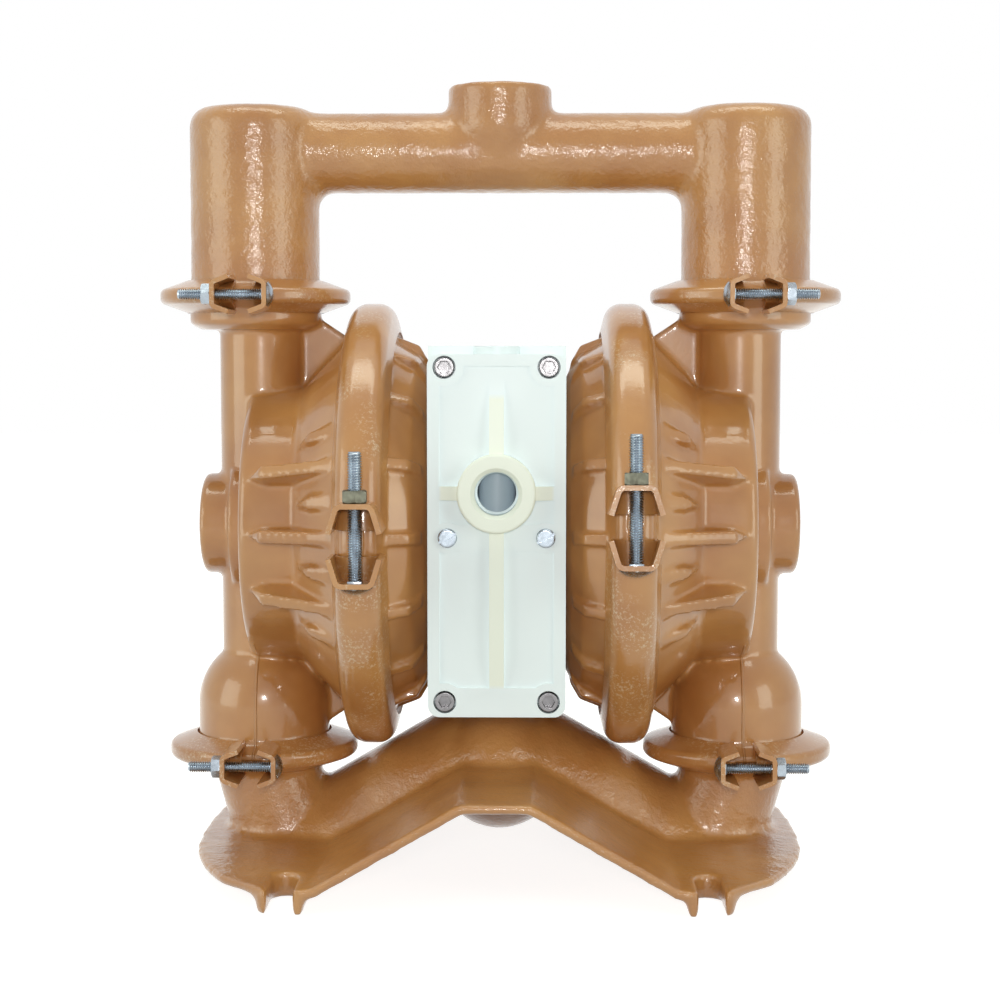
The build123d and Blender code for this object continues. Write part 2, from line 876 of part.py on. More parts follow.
# Inlet manifold: a bent duct on a bent plate, two legs, a rear port and four slotted feet
def bent_line(drop, shift):
    """The plate's upper or lower line from left to right, as points."""
    right = [
        (flat_half - shift, flat_top_z - drop),
        (plate_bend_x - shift, foot_top_z - drop),
        (plate_half_width + 1, foot_top_z - drop),
    ]
    left = [(-x, z) for x, z in reversed(right)]
    return left + right


def above_bent_line(drop, shift):
    """Everything over that line, as one thick block."""
    line = bent_line(drop, shift)
    high = 3 * duct_top_z
    corners = line + [(line[-1][0], high), (line[0][0], high)]
    return extrude(Plane.XZ * outline([(x, z, 0) for x, z in corners]), 2 * plate_half_length, both=True)


def plan_outline():
    """The plate seen from above, cut back at its four outer corners."""
    quarter = [
        (plate_half_width - plate_corner_in, plate_half_length - plate_corner_back, plate_corner_round),
        (plate_half_width - plate_front_cut, plate_half_length, plate_front_round),
    ]
    side = (plate_half_width, plate_half_length - plate_side_back, plate_side_round)
    corners = [side] + quarter
    mirrored = [(-x, y, r) for x, y, r in reversed(corners)]
    back = corners + mirrored
    front = [(x, -y, r) for x, y, r in reversed(back)]
    return outline(back + front)


def duct(radius, drop, shift):
    """The round-topped duct of one radius, cut off at the plate."""
    axis_z = duct_top_z - duct_radius
    bend = flat_half - (flat_top_z - axis_z) * math.tan(math.radians(slant / 2))
    end = leg_foot_x + 0.3 * leg_foot_radius
    fall = (end - bend) * math.tan(math.radians(slant))
    path = Plane.XZ * Polyline((-end, axis_z - fall), (-bend, axis_z), (bend, axis_z), (end, axis_z - fall))
    section = Plane(origin=path @ 0, z_dir=path % 0) * Circle(radius)
    return sweep(section, path=path, transition=Transition.RIGHT) & above_bent_line(drop, shift)


def leg(top_radius, top_z, foot_radius, foot_z):
    """A leg that leans inward from its valve down to the plate, on the right."""
    top = Plane(origin=(inlet_x, 0, top_z)) * Circle(top_radius)
    foot = Plane(origin=(leg_foot_x, 0, foot_z)) * Circle(foot_radius)
    return loft([foot, top])


def foot_boss(side_x, side_y):
    """The wall round one mounting slot, from the floor up to the plate."""
    inner = plate_half_length - notch_depth - notch_wall
    plan = rounded_slot(notch_width + 2 * notch_wall, inner)
    return Pos(side_x * notch_x, 0, 0) * mirrored_to(side_y, extrude(plan, foot_top_z - plate_thickness / 2))


def rounded_slot(width, inner):
    """A slot's plan, open at the plate's edge and round at its inner end."""
    straight = inner + width / 2
    edge = plate_half_length + 1
    walls = Pos(0, (straight + edge) / 2, 0) * Rectangle(width, edge - straight)
    return Pos(0, straight, 0) * Circle(width / 2) + walls


def mirrored_to(side_y, shape):
    """The same piece at the back, or at the front where side_y is negative."""
    return shape if side_y > 0 else mirror(shape, about=Plane.XZ)


def inlet_manifold():
    """The foot casting: bent plate, round duct, two legs, rear port and slotted feet."""
    plan = plan_outline()
    plate = above_bent_line(plate_thickness, bend_shift) - above_bent_line(0, 0)
    corners = [(x, y) for x in both for y in both]
    plate = plate + [foot_boss(x, y) for x, y in corners]
    plate = plate & extrude(plan, duct_top_z)
    for x, y in corners:
        inner = plate_half_length - notch_depth
        slot = extrude(rounded_slot(notch_width, inner), 2 * foot_top_z)
        plate = plate - Pos(x * notch_x, 0, 0) * mirrored_to(y, slot)
    neck_z = lower_joint_z - small.half_width(collar_radius, small.sheet)
    neck = Cone(leg_top_radius + bolt_gap, collar_radius, leg_neck)
    right_leg = leg(leg_top_radius, neck_z, leg_foot_radius, foot_top_z - plate_thickness / 2)
    right_leg = right_leg + Pos(inlet_x, 0, neck_z - leg_neck / 2) * neck
    right_leg = right_leg + Pos(inlet_x, 0, 0) * joint_flange(lower_joint_z, False)
    boss = rod(inlet_boss_radius, (0, -inlet_nose, inlet_boss_z), (0, inlet_face_y, inlet_boss_z))
    nose = Pos(0, -inlet_nose, inlet_boss_z) * Sphere(inlet_boss_radius)
    solid = plate + [duct(duct_radius, plate_thickness, bend_shift), boss, nose, right_leg, other_side(right_leg)]

    wall = manifold_wall
    cavity = duct(duct_radius - wall, 0, 0)
    thread_end_y = inlet_face_y - port_chamfer - inlet_thread_length
    pool = rod(inlet_boss_radius - wall, (0, -inlet_nose, inlet_boss_z), (0, thread_end_y, inlet_boss_z))
    pool = pool + Pos(0, -inlet_nose, inlet_boss_z) * Sphere(inlet_boss_radius - wall)
    port = rod(inlet_thread_radius, (0, 0, inlet_boss_z), (0, inlet_face_y, inlet_boss_z))
    mouth = Cone(inlet_thread_radius, inlet_thread_radius + port_chamfer, port_chamfer)
    mouth = Pos(0, inlet_face_y - port_chamfer / 2, inlet_boss_z) * Rot(-90, 0, 0) * mouth
    facing_radius = inlet_boss_radius + port_chamfer
    facing = rod(facing_radius, (0, inlet_face_y, inlet_boss_z), (0, plate_half_length + 1, inlet_boss_z))
    low_z = lower_joint_z - seat_height / 2
    bore = leg(leg_top_radius - wall - 2, low_z, leg_foot_radius - wall - 3, foot_top_z + 4)
    pocket = Pos(inlet_x, 0, 0) * seat_pocket(lower_joint_z)
    return solid - [cavity, pool, port, mouth, facing, bore, other_side(bore), pocket, other_side(pocket)]


save("discharge_manifold", discharge_manifold())
save("inlet_manifold", inlet_manifold())


# Centre section and air valve
def through_holes(radius, start_y, end_y, spots):
    """Round holes along Y at (x, z) spots."""
    return [rod(radius, (x, start_y, z), (x, end_y, z)) for x, z in spots]


def slot_through(start_y, end_y, spot, size):
    """A rectangular air passage along Y."""
    x, z = spot
    wide, high = size
    return block((x - wide / 2, start_y, z - high / 2), (x + wide / 2, end_y, z + high / 2))


def centre_block():
    """The block between the air chambers, bored for the shaft, pilot and screws."""
    body = block((-half_width, -block_half_depth, block_low_z), (half_width, block_half_depth, block_top_z))
    body = fillet(body.edges().filter_by(Axis.Z), block_edge)
    bores = [
        rod(bushing_radius + running_gap, (-half_width, 0, shaft_z), (half_width, 0, shaft_z)),
        rod(sleeve_radius + running_gap, (-half_width, 0, pilot_z), (half_width, 0, pilot_z)),
    ]
    bores += through_holes(corner_screw_radius + seat_gap, -block_half_depth, block_half_depth, corner_spots)
    bite = -block_half_depth + slotted_bite + 2
    bores += through_holes(slotted_radius + running_gap, -block_half_depth, bite, slotted_spots)
    for side in both:
        for y, z in chamber_screw_spots:
            depth = half_width - chamber_screw_depth
            bores.append(rod(chamber_screw_radius + running_gap, (side * depth, y, z), (side * half_width, y, z)))
    slot_floor = block_half_depth - air_slot_depth
    front = [slot_through(-block_half_depth, -slot_floor, spot, air_slot_size) for spot in air_slots]
    exhaust = slot_through(slot_floor, block_half_depth, (0, exhaust_z), exhaust_room)
    return body - bores - front - exhaust


def air_valve_body():
    """The moulded body in front: port hub, ribs, sunk panels and an upright spool bore."""
    step_y = valve_face_y + valve_plate_depth
    plate = block((-half_width, valve_face_y, valve_plate_low_z), (half_width, step_y, valve_plate_top_z))
    plate = fillet(plate.edges().filter_by(Axis.Y), plate_corner)
    body = plate + block((-half_width, step_y, block_low_z - 1), (half_width, valve_back_y, valve_top_z))
    body = body - sunk_panel(valve_plate_low_z + panel_foot, slotted_z - flush_band_half)
    body = body - sunk_panel(slotted_z + flush_band_half, valve_plate_top_z - panel_border)
    body = body + front_ribs()
    thread_start = valve_face_y - hub_out
    thread_end = spool_y - spool_radius - port_floor
    body = body - rod(port_radius, (0, thread_start, port_z), (0, thread_end, port_z))
    body = body - rod(port_throat_radius, (0, thread_end, port_z), (0, spool_y, port_z))
    lip = Cone(port_radius, port_radius + port_lip, port_lip)
    body = body - Pos(0, thread_start + port_lip / 2, port_z) * Rot(90, 0, 0) * lip
    body = body - rod(spool_radius + running_gap, (0, spool_y, spool_low_z - stop_gap), (0, spool_y, valve_top_z))
    body = body - rod(cap_radius + running_gap, (0, spool_y, cap_low_z), (0, spool_y, valve_top_z))
    slots = [slot_through(spool_y, valve_back_y, spot, air_slot_size) for spot in air_slots]
    head_room = valve_face_y + corner_head_height
    holes = through_holes(corner_screw_radius + seat_gap, valve_face_y, valve_back_y, corner_spots)
    holes += through_holes(corner_head_radius + corner_head_room, valve_face_y, head_room, corner_spots)
    holes += through_holes(slotted_radius + running_gap, valve_face_y, valve_back_y, slotted_spots)
    return body - slots - holes


def sunk_panel(bottom, top):
    """A shallow recess inside the plate's border, rounded in round the screws and the hub."""
    inner = half_width - panel_border
    floor = valve_face_y + panel_depth
    panel = block((-inner, valve_face_y, bottom), (inner, floor, top))
    keep = through_holes(screw_collar_radius, valve_face_y, floor, corner_spots)
    keep += through_holes(slotted_collar_radius, valve_face_y, floor, slotted_spots)
    keep += through_holes(hub_radius, valve_face_y, floor, [(0, port_z)])
    return panel - keep


def front_ribs():
    """The hub round the air port and the ribs that run from it to the plate's edges."""
    base = valve_face_y + panel_depth
    crest = valve_face_y - spine_height
    hub = rod(hub_radius, (0, base, port_z), (0, valve_face_y - hub_out, port_z))
    hub = fillet(hub.edges().group_by(Axis.Y)[0], hub_edge)
    spine = outline(
        [
            (base, shaft_z - spine_low_tip, 0),
            (crest, shaft_z - spine_low_flat, 0),
            (crest, shaft_z + spine_top_flat, 0),
            (base, shaft_z + spine_top_tip, 0),
        ]
    )
    spine = extrude(Plane.YZ * spine, spine_width / 2, both=True)
    edge = half_width - 1
    inner = hub_radius - 2
    cross = outline([(-edge, base, 0), (-inner, crest, 0), (inner, crest, 0), (edge, base, 0)])
    cross = Pos(0, 0, port_z - cross_rib_height / 2) * extrude(cross, cross_rib_height)
    return hub + spine + cross


def grooved_cap():
    """The plug that shuts the spool's bore, with a groove for its ring."""
    cap = rod(cap_radius, (0, spool_y, cap_low_z), (0, spool_y, cap_top_z))
    groove_z = cap_low_z + cap_groove
    inner = cap_radius - 2 * oring_thickness - groove_room
    groove = tube(cap_radius + 1, inner, (0, spool_y, groove_z), (0, spool_y, groove_z + cap_groove_width))
    lift = rod(cap_groove, (0, spool_y, cap_top_z - plate_corner), (0, spool_y, cap_top_z))
    return cap - groove - lift


def cap_oring():
    """The ring in the plug's groove."""
    middle_z = cap_low_z + cap_groove + cap_groove_width / 2
    return Pos(0, spool_y, middle_z) * Torus(cap_radius - oring_thickness - running_gap, oring_thickness)


def air_spool():
    """The sliding valve spool: three lands with waists between them."""
    low = spool_low_z
    top = spool_top_z
    middle = low + spool_end_land + spool_waist_low
    lands = [(low, low + spool_end_land), (middle, middle + spool_middle_land), (top - spool_top_land, top)]
    body = rod(spool_radius - spool_waist_depth, (0, spool_y, low), (0, spool_y, top))
    for start, end in lands:
        body = body + rod(spool_radius, (0, spool_y, start), (0, spool_y, end))
    return body


def gasket(start_y, end_y):
    """A sheet between the block and a cover, holed for the corner screws."""
    inset = gasket_margin
    low = (-half_width + inset, start_y, block_low_z + inset)
    high = (half_width - inset, end_y, block_top_z - inset)
    return block(low, high) - through_holes(corner_screw_radius + 2 * bolt_gap, start_y, end_y, corner_spots)


def valve_gasket():
    """The gasket behind the air valve, with its air slots."""
    holes = through_holes(slotted_radius + bolt_gap, valve_back_y, -block_half_depth, slotted_spots)
    slots = [slot_through(valve_back_y, -block_half_depth, spot, air_slot_size) for spot in air_slots]
    return gasket(valve_back_y, -block_half_depth) - holes - slots


def muffler_gasket():
    """The gasket in front of the rear cover, open to the exhaust room."""
    room = slot_through(block_half_depth, muffler_front_y, (0, exhaust_z), exhaust_room)
    return gasket(block_half_depth, muffler_front_y) - room


def muffler_plate():
    """The rear cover with its exhaust port."""
    front = muffler_front_y
    lip_y = plate_back_y + exhaust_lip
    plate = block((-half_width, front, valve_plate_low_z), (half_width, plate_back_y, valve_plate_top_z))
    plate = fillet(plate.edges().filter_by(Axis.Y), plate_corner)
    hub = rod(exhaust_bore + exhaust_wall, (0, front + gasket_thickness, exhaust_z), (0, lip_y, exhaust_z))
    spine = block(
        (-spine_width / 2, plate_back_y, shaft_z - spine_low_tip),
        (spine_width / 2, plate_back_y + spine_height - 1, shaft_z + spine_top_tip),
    )
    holes = through_holes(corner_screw_radius + seat_gap, front, plate_back_y, corner_spots)
    return plate + hub + spine - holes - rod(exhaust_bore, (0, front, exhaust_z), (0, lip_y, exhaust_z))


def corner_screw(spot):
    """A long socket screw from the valve body's face to the nut behind the rear plate."""
    x, z = spot
    seat_y = valve_face_y + corner_head_height
    tip_y = plate_back_y + corner_nut_height + thread_beyond_nut
    shank = rod(corner_screw_radius, (x, seat_y, z), (x, tip_y, z))
    head = rod(corner_head_radius, (x, valve_face_y, z), (x, seat_y, z))
    head = fillet(head.edges().group_by(Axis.Y)[0], 0.6)
    hexagon = RegularPolygon(corner_socket_across / 2, 6, major_radius=False)
    socket = Pos(x, valve_face_y, z) * Rot(-90, 0, 0) * extrude(hexagon, corner_head_height / 2)
    return head - socket + shank


def corner_nut(spot):
    """The square nut at the end of one corner screw."""
    x, z = spot
    square = Rectangle(corner_nut_across, corner_nut_across)
    nut = extrude(square - Circle(corner_screw_radius + running_gap), corner_nut_height)
    return Pos(x, plate_back_y, z) * Rot(-90, 0, 0) * nut


def slotted_screw(spot):
    """A short pan head screw that holds the valve body while it is fitted."""
    x, z = spot
    face = valve_face_y - slotted_head_height
    shank = rod(slotted_radius, (x, valve_face_y, z), (x, -block_half_depth + slotted_bite, z))
    head = rod(slotted_head_radius, (x, face, z), (x, valve_face_y, z))
    head = fillet(head.edges().group_by(Axis.Y)[0], slotted_head_height / 2)
    slot = block((-slotted_head_radius - 1, face, -0.7), (slotted_head_radius + 1, face + 1.5, 0.7))
    turn = Rot(0, -28, 0)
    return shank + head - Pos(x, 0, z) * turn * slot


save("centre_block", centre_block())
save("air_valve_body", air_valve_body())
save("air_valve_end_cap", grooved_cap())
save("end_cap_oring", cap_oring())
save("air_valve_gasket", valve_gasket())
save("muffler_gasket", muffler_gasket())
save("muffler_plate", muffler_plate())
save("corner_screws", *[corner_screw(spot) for spot in corner_spots])
save("corner_nuts", *[corner_nut(spot) for spot in corner_spots])
save("slotted_screws", *[slotted_screw(spot) for spot in slotted_spots])
save("air_spool", air_spool())


# Shaft line, pilot, diaphragms and ball valves
def shaft():
    """The shaft with a stud at each end that the pistons are clamped on."""
    main = rod(shaft_radius, (-shaft_shoulder_x, 0, shaft_z), (shaft_shoulder_x, 0, shaft_z))
    return main + rod(stud_radius, (-stud_tip_x, 0, shaft_z), (stud_tip_x, 0, shaft_z))


def inner_piston():
    """The dished plate on the air side of a diaphragm, on the right."""
    rim = piston_radius - 1
    return turned_lengthwise(
        [
            (shaft_shoulder_x, stud_radius + running_gap, 0),
            (shaft_shoulder_x, rim - 7, 2),
            (shaft_shoulder_x + inner_piston_depth / 2, rim, 1),
            (joint_in_x, rim, 1),
            (joint_in_x, stud_radius + running_gap, 0),
        ]
    )


def outer_piston():
    """The domed plate on the liquid side, threaded onto the stud, on the right."""
    body = turned_lengthwise(
        [
            (joint_out_x, 0, 0),
            (joint_out_x, piston_radius, 2),
            (joint_out_x + outer_piston_depth / 3, piston_radius, 2),
            (outer_piston_x, piston_radius / 3, 6),
            (outer_piston_x, 0, 0),
        ]
    )
    tip = stud_tip_x + bolt_gap
    return body - rod(stud_radius + running_gap, (joint_out_x, 0, shaft_z), (tip, 0, shaft_z))


def diaphragm():
    """The rubber disc: flat where it is clamped, with one rolled fold between."""
    inner = piston_radius + fold_gap
    outer = large.foot_radius - mouth_drop - fold_gap
    hole = stud_radius + running_gap
    bead = rim_radius - bead_gap
    near = joint_in_x
    far = joint_out_x
    middle = (inner + outer) / 2
    edges = [
        Line((near, hole), (far, hole)),
        Line((far, hole), (far, inner)),
        ThreePointArc((far, inner), (far - fold_depth, middle), (far, outer)),
        Line((far, outer), (far, bead)),
        Line((far, bead), (near, bead)),
        Line((near, bead), (near, outer)),
        ThreePointArc((near, outer), (near - fold_depth, middle), (near, inner)),
        Line((near, inner), (near, hole)),
    ]
    return Pos(0, 0, shaft_z) * revolve(Plane.XZ * make_face(Wire(edges)), Axis.X)


def pilot_spool():
    """The small rod that the pistons push from side to side near the end of a stroke."""
    reach = shaft_shoulder_x - half_stroke + pilot_travel - stop_gap
    body = rod(pilot_radius, (-reach, 0, pilot_z), (reach, 0, pilot_z))
    waist = 0.7 * pilot_radius
    for side in both:
        x = side * 2.4 * pilot_radius
        body = body - tube(pilot_radius + 1, waist, (x - waist, 0, pilot_z), (x + waist, 0, pilot_z))
    return body


def pilot_sleeve():
    """The sleeve that the pilot spool slides in, drilled for air."""
    body = tube(sleeve_radius, pilot_radius + running_gap, (-half_width, 0, pilot_z), (half_width, 0, pilot_z))
    for step in (-1, 0, 1):
        x = 0.6 * half_width * step
        body = body - rod(pilot_radius / 3, (x, 0, pilot_z), (x, 0, pilot_z + 2 * sleeve_radius))
    return body


def collar_on_shaft(start, end):
    """A ring that fills the block's bore round the shaft."""
    return tube(bushing_radius, shaft_radius + running_gap, (start, 0, shaft_z), (end, 0, shaft_z))


def valve_seat(joint_z):
    """A ball seat with a matching spherical edge and a groove for its ring."""
    half = seat_height / 2
    ring = tube(seat_radius, seat_bore, (0, 0, joint_z - half), (0, 0, joint_z + half))
    groove_half = oring_thickness + groove_room
    inner = seat_radius - 2 * oring_thickness - groove_room
    groove = tube(seat_radius + 1, inner, (0, 0, joint_z - groove_half), (0, 0, joint_z + groove_half))
    return ring - groove - Pos(0, 0, ball_z(joint_z)) * Sphere(ball_radius + running_gap)


def ball_z(joint_z):
    """Height of a ball's middle when it rests on its seat."""
    return joint_z + seat_height / 2 + ball_above_seat


def seat_oring(joint_z):
    """The ring in a seat's groove."""
    return Pos(0, 0, joint_z) * Torus(seat_radius - oring_thickness - running_gap, oring_thickness)


valve_places = {
    "inlet_left": (-inlet_x, lower_joint_z),
    "inlet_right": (inlet_x, lower_joint_z),
    "outlet_left": (-outlet_x, upper_joint_z),
    "outlet_right": (outlet_x, upper_joint_z),
}
for name, (x, joint_z) in valve_places.items():
    save(f"{name}_ball", Pos(x, 0, ball_z(joint_z)) * Sphere(ball_radius))
save("valve_seats", *[Pos(x, 0, 0) * valve_seat(joint_z) for x, joint_z in valve_places.values()])
save("seat_orings", *[Pos(x, 0, 0) * seat_oring(joint_z) for x, joint_z in valve_places.values()])

pieces_right = {
    "inner_piston": inner_piston(),
    "outer_piston": outer_piston(),
    "diaphragm": diaphragm(),
}
for name, shape in pieces_right.items():
    save(f"{name}_right", shape)
    save(f"{name}_left", other_side(shape))
save("shaft", shaft())
save("pilot_spool", pilot_spool())
save("pilot_sleeve", pilot_sleeve())
save("shaft_bushing", collar_on_shaft(-bushing_half, bushing_half))
right_seal = collar_on_shaft(bushing_half, bushing_half + seal_width)
save("shaft_seals", other_side(right_seal), right_seal)
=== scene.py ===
"""Looks of an air operated diaphragm pump, laid out as an add-on and run as a script."""

import json
import math

import bmesh
import bpy
import numpy as np
from mathutils import Matrix, Vector, noise


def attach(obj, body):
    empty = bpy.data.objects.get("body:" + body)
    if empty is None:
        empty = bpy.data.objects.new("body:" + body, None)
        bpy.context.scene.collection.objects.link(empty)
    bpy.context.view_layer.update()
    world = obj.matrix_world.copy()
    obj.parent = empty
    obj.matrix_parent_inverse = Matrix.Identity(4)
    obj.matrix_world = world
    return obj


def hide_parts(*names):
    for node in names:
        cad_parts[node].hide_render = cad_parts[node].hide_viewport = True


bl_info = {
    "name": "Diaphragm pump looks",
    "version": (1, 0, 0),
    "blender": (4, 5, 0),
    "location": "3D View > Sidebar > Pump",
    "description": "Paints and dresses the castings, bands, bolts and air valve of a diaphragm pump",
    "category": "Object",
}

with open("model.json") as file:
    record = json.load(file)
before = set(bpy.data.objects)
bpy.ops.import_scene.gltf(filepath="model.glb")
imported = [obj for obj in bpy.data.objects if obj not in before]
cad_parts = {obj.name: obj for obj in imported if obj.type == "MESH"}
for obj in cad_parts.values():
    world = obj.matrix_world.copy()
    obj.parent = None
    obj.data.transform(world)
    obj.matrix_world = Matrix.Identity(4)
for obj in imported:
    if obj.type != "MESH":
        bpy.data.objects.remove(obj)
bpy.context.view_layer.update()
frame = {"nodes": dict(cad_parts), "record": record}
NODES = frame["nodes"]
SLOT_OF = {entry["node"]: entry["material_slot"] for entry in frame["record"]["subparts"]}
MATERIALS = {}
HOUSING = "housing"
MM = 0.001
WHITE = (1.0, 1.0, 1.0, 1.0)


def middle_of(*nodes):
    """Middle of the box round some nodes, in metres."""
    places = [vert.co for node in nodes for vert in NODES[node].data.vertices]
    return Vector([(min(line) + max(line)) / 2 for line in zip(*places)])


# Front face of the air valve's plate, in metres
VALVE_FACE = -108.0 * MM
# The shaft's height, and how far the flow columns and the ball cages stand from the middle, in millimetres
SHAFT_HEIGHT = middle_of("shaft_bushing").z / MM
FLOW_COLUMN = middle_of("small_clamp_lower_right_inner", "small_clamp_lower_right_outer").x / MM
BALL_CAGE = middle_of("small_clamp_upper_right_inner", "small_clamp_upper_right_outer").x / MM


def srgb(red, green, blue):
    """A linear colour from the usual screen values, 0 to 255."""
    parts = [value / 255 for value in (red, green, blue)]
    linear = [p / 12.92 if p <= 0.04045 else ((p + 0.055) / 1.055) ** 2.4 for p in parts]
    return (*linear, 1.0)


class PumpPaint(bpy.types.PropertyGroup):
    """The ochre epoxy on every metal casting and band."""

    colour: bpy.props.FloatVectorProperty(
        name="Paint", description="Mid tone of the epoxy", subtype="COLOR", size=4, min=0, max=1,
        default=srgb(197, 143, 84),
    )
    deep_colour: bpy.props.FloatVectorProperty(
        name="Deep paint", description="Where the paint lies thick", subtype="COLOR", size=4, min=0, max=1,
        default=srgb(178, 121, 66),
    )
    chip_colour: bpy.props.FloatVectorProperty(
        name="Scuff", description="Chalky scuffs on the clamp bands", subtype="COLOR", size=4, min=0, max=1,
        default=srgb(226, 208, 178),
    )
    peel_size: bpy.props.FloatProperty(
        name="Peel size", description="Width of one bump of the sand casting", subtype="DISTANCE",
        default=3.0 * MM,
    )
    peel_depth: bpy.props.FloatProperty(
        name="Peel depth", description="Height of those bumps", subtype="DISTANCE", default=0.6 * MM,
    )
    gloss: bpy.props.FloatProperty(
        name="Roughness", description="Roughness of the paint film", subtype="FACTOR", min=0, max=1,
        default=0.28,
    )
    coat: bpy.props.FloatProperty(
        name="Coat", description="Clear gloss over the paint film", subtype="FACTOR", min=0, max=1,
        default=0.7,
    )
    coat_roughness: bpy.props.FloatProperty(
        name="Coat roughness", description="Roughness of that gloss", subtype="FACTOR", min=0, max=1,
        default=0.07,
    )


class PumpCasting(bpy.types.PropertyGroup):
    """How finely the castings are rounded."""

    top_cell: bpy.props.FloatProperty(
        name="Top cell", description="Grid the discharge manifold is rebuilt on", subtype="DISTANCE",
        default=1.6 * MM,
    )
    foot_cell: bpy.props.FloatProperty(
        name="Foot cell", description="Grid the inlet manifold is rebuilt on", subtype="DISTANCE",
        default=2.0 * MM,
    )
    liquid_cell: bpy.props.FloatProperty(
        name="Liquid cell", description="Grid the liquid chambers are rebuilt on", subtype="DISTANCE",
        default=1.45 * MM,
    )
    air_cell: bpy.props.FloatProperty(
        name="Air cell", description="Grid the air chambers are rebuilt on", subtype="DISTANCE",
        default=1.25 * MM,
    )
    relief: bpy.props.FloatProperty(
        name="Relief", description="Depth of the manifolds' sand cast dents", subtype="DISTANCE",
        default=0.4 * MM,
    )
    chamber_passes: bpy.props.IntProperty(
        name="Chamber rounding", description="How often the chambers' edges are relaxed", default=2, min=0,
        max=40,
    )
    manifold_passes: bpy.props.IntProperty(
        name="Manifold rounding", description="How often the manifolds' edges are relaxed", default=6, min=0,
        max=40,
    )


class PumpSteel(bpy.types.PropertyGroup):
    """Plated bolts, nuts and screws."""

    zinc: bpy.props.FloatVectorProperty(
        name="Zinc", description="Bright zinc plate", subtype="COLOR", size=4, min=0, max=1,
        default=srgb(178, 188, 198),
    )
    dull: bpy.props.FloatVectorProperty(
        name="Dull plate", description="Grey plate of the large nuts", subtype="COLOR", size=4, min=0, max=1,
        default=srgb(114, 114, 102),
    )
    large_pitch: bpy.props.FloatProperty(
        name="Large pitch", description="18 threads to the inch", subtype="DISTANCE", default=1.411 * MM,
    )
    small_pitch: bpy.props.FloatProperty(
        name="Small pitch", description="20 threads to the inch", subtype="DISTANCE", default=1.27 * MM,
    )


class PumpPlastic(bpy.types.PropertyGroup):
    """The pale moulding of the air valve."""

    colour: bpy.props.FloatVectorProperty(
        name="Moulding", description="Pale green white plastic", subtype="COLOR", size=4, min=0, max=1,
        default=srgb(240, 250, 253),
    )
    rib_colour: bpy.props.FloatVectorProperty(
        name="Ribs", description="Yellowed ribs", subtype="COLOR", size=4, min=0, max=1,
        default=srgb(243, 248, 236),
    )


class PumpStage(bpy.types.PropertyGroup):
    """Camera, lamps and floor."""

    distance: bpy.props.FloatProperty(
        name="Distance", description="Camera to the pump's middle", subtype="DISTANCE", default=1.19,
    )
    height: bpy.props.FloatProperty(
        name="Height", description="Camera above the floor", subtype="DISTANCE", default=0.302,
    )
    turn: bpy.props.FloatProperty(
        name="Turn", description="Camera to the right of the front", subtype="ANGLE",
        default=math.radians(1.0),
    )
    pitch: bpy.props.FloatProperty(
        name="Pitch", description="Camera looking down", subtype="ANGLE", default=math.radians(4.3),
    )
    lens: bpy.props.FloatProperty(
        name="Lens", description="Focal length in millimetres", default=71.4,
    )


# Node trees
def feed(tree, entry, value):
    """Joins an input to a socket, or sets it to a value."""
    if isinstance(value, bpy.types.NodeSocket):
        tree.links.new(value, entry)
    else:
        entry.default_value = value


def add_node(tree, kind, inputs=None, **settings):
    """A shader node with its inputs set to values or joined to sockets."""
    made = tree.nodes.new(kind)
    for key, value in settings.items():
        setattr(made, key, value)
    for key, value in (inputs or {}).items():
        feed(tree, made.inputs[key], value)
    return made


def new_material(name):
    """A material with its own Principled shader and object coordinates."""
    made = bpy.data.materials.new(name)
    made.use_nodes = True
    tree = made.node_tree
    shader = tree.nodes["Principled BSDF"]
    place = add_node(tree, "ShaderNodeTexCoord").outputs["Object"]
    return made, tree, shader, place


def speckle(tree, place, size, detail=2.0, rough=0.5):
    """Noise whose grains are about size across."""
    return add_node(
        tree, "ShaderNodeTexNoise",
        {"Vector": place, "Scale": 1 / size, "Detail": detail, "Roughness": rough},
    ).outputs["Fac"]


def between(tree, value, low, high, out_low=0.0, out_high=1.0):
    """A value taken from one range to another and held there."""
    return add_node(
        tree, "ShaderNodeMapRange",
        {"Value": value, "From Min": low, "From Max": high, "To Min": out_low, "To Max": out_high},
    ).outputs["Result"]


def mixed(tree, share, first, second):
    """Two colours mixed by a share."""
    made = add_node(tree, "ShaderNodeMix", data_type="RGBA")
    for socket, value in (("Factor_Float", share), ("A_Color", first), ("B_Color", second)):
        feed(tree, next(i for i in made.inputs if i.identifier == socket), value)
    return next(o for o in made.outputs if o.identifier == "Result_Color")


def maths(tree, operation, first, second=0.0):
    """One sum on one or two values."""
    return add_node(tree, "ShaderNodeMath", {0: first, 1: second}, operation=operation).outputs[0]


def bumped(tree, shader, *layers):
    """Bump layers of (height socket, depth in metres), one over the other."""
    normal = None
    for height, depth in layers:
        inputs = {"Height": height, "Distance": depth, "Strength": 1.0}
        if normal is not None:
            inputs["Normal"] = normal
        normal = add_node(tree, "ShaderNodeBump", inputs).outputs["Normal"]
    tree.links.new(normal, shader.inputs["Normal"])
    tree.links.new(normal, shader.inputs["Coat Normal"])


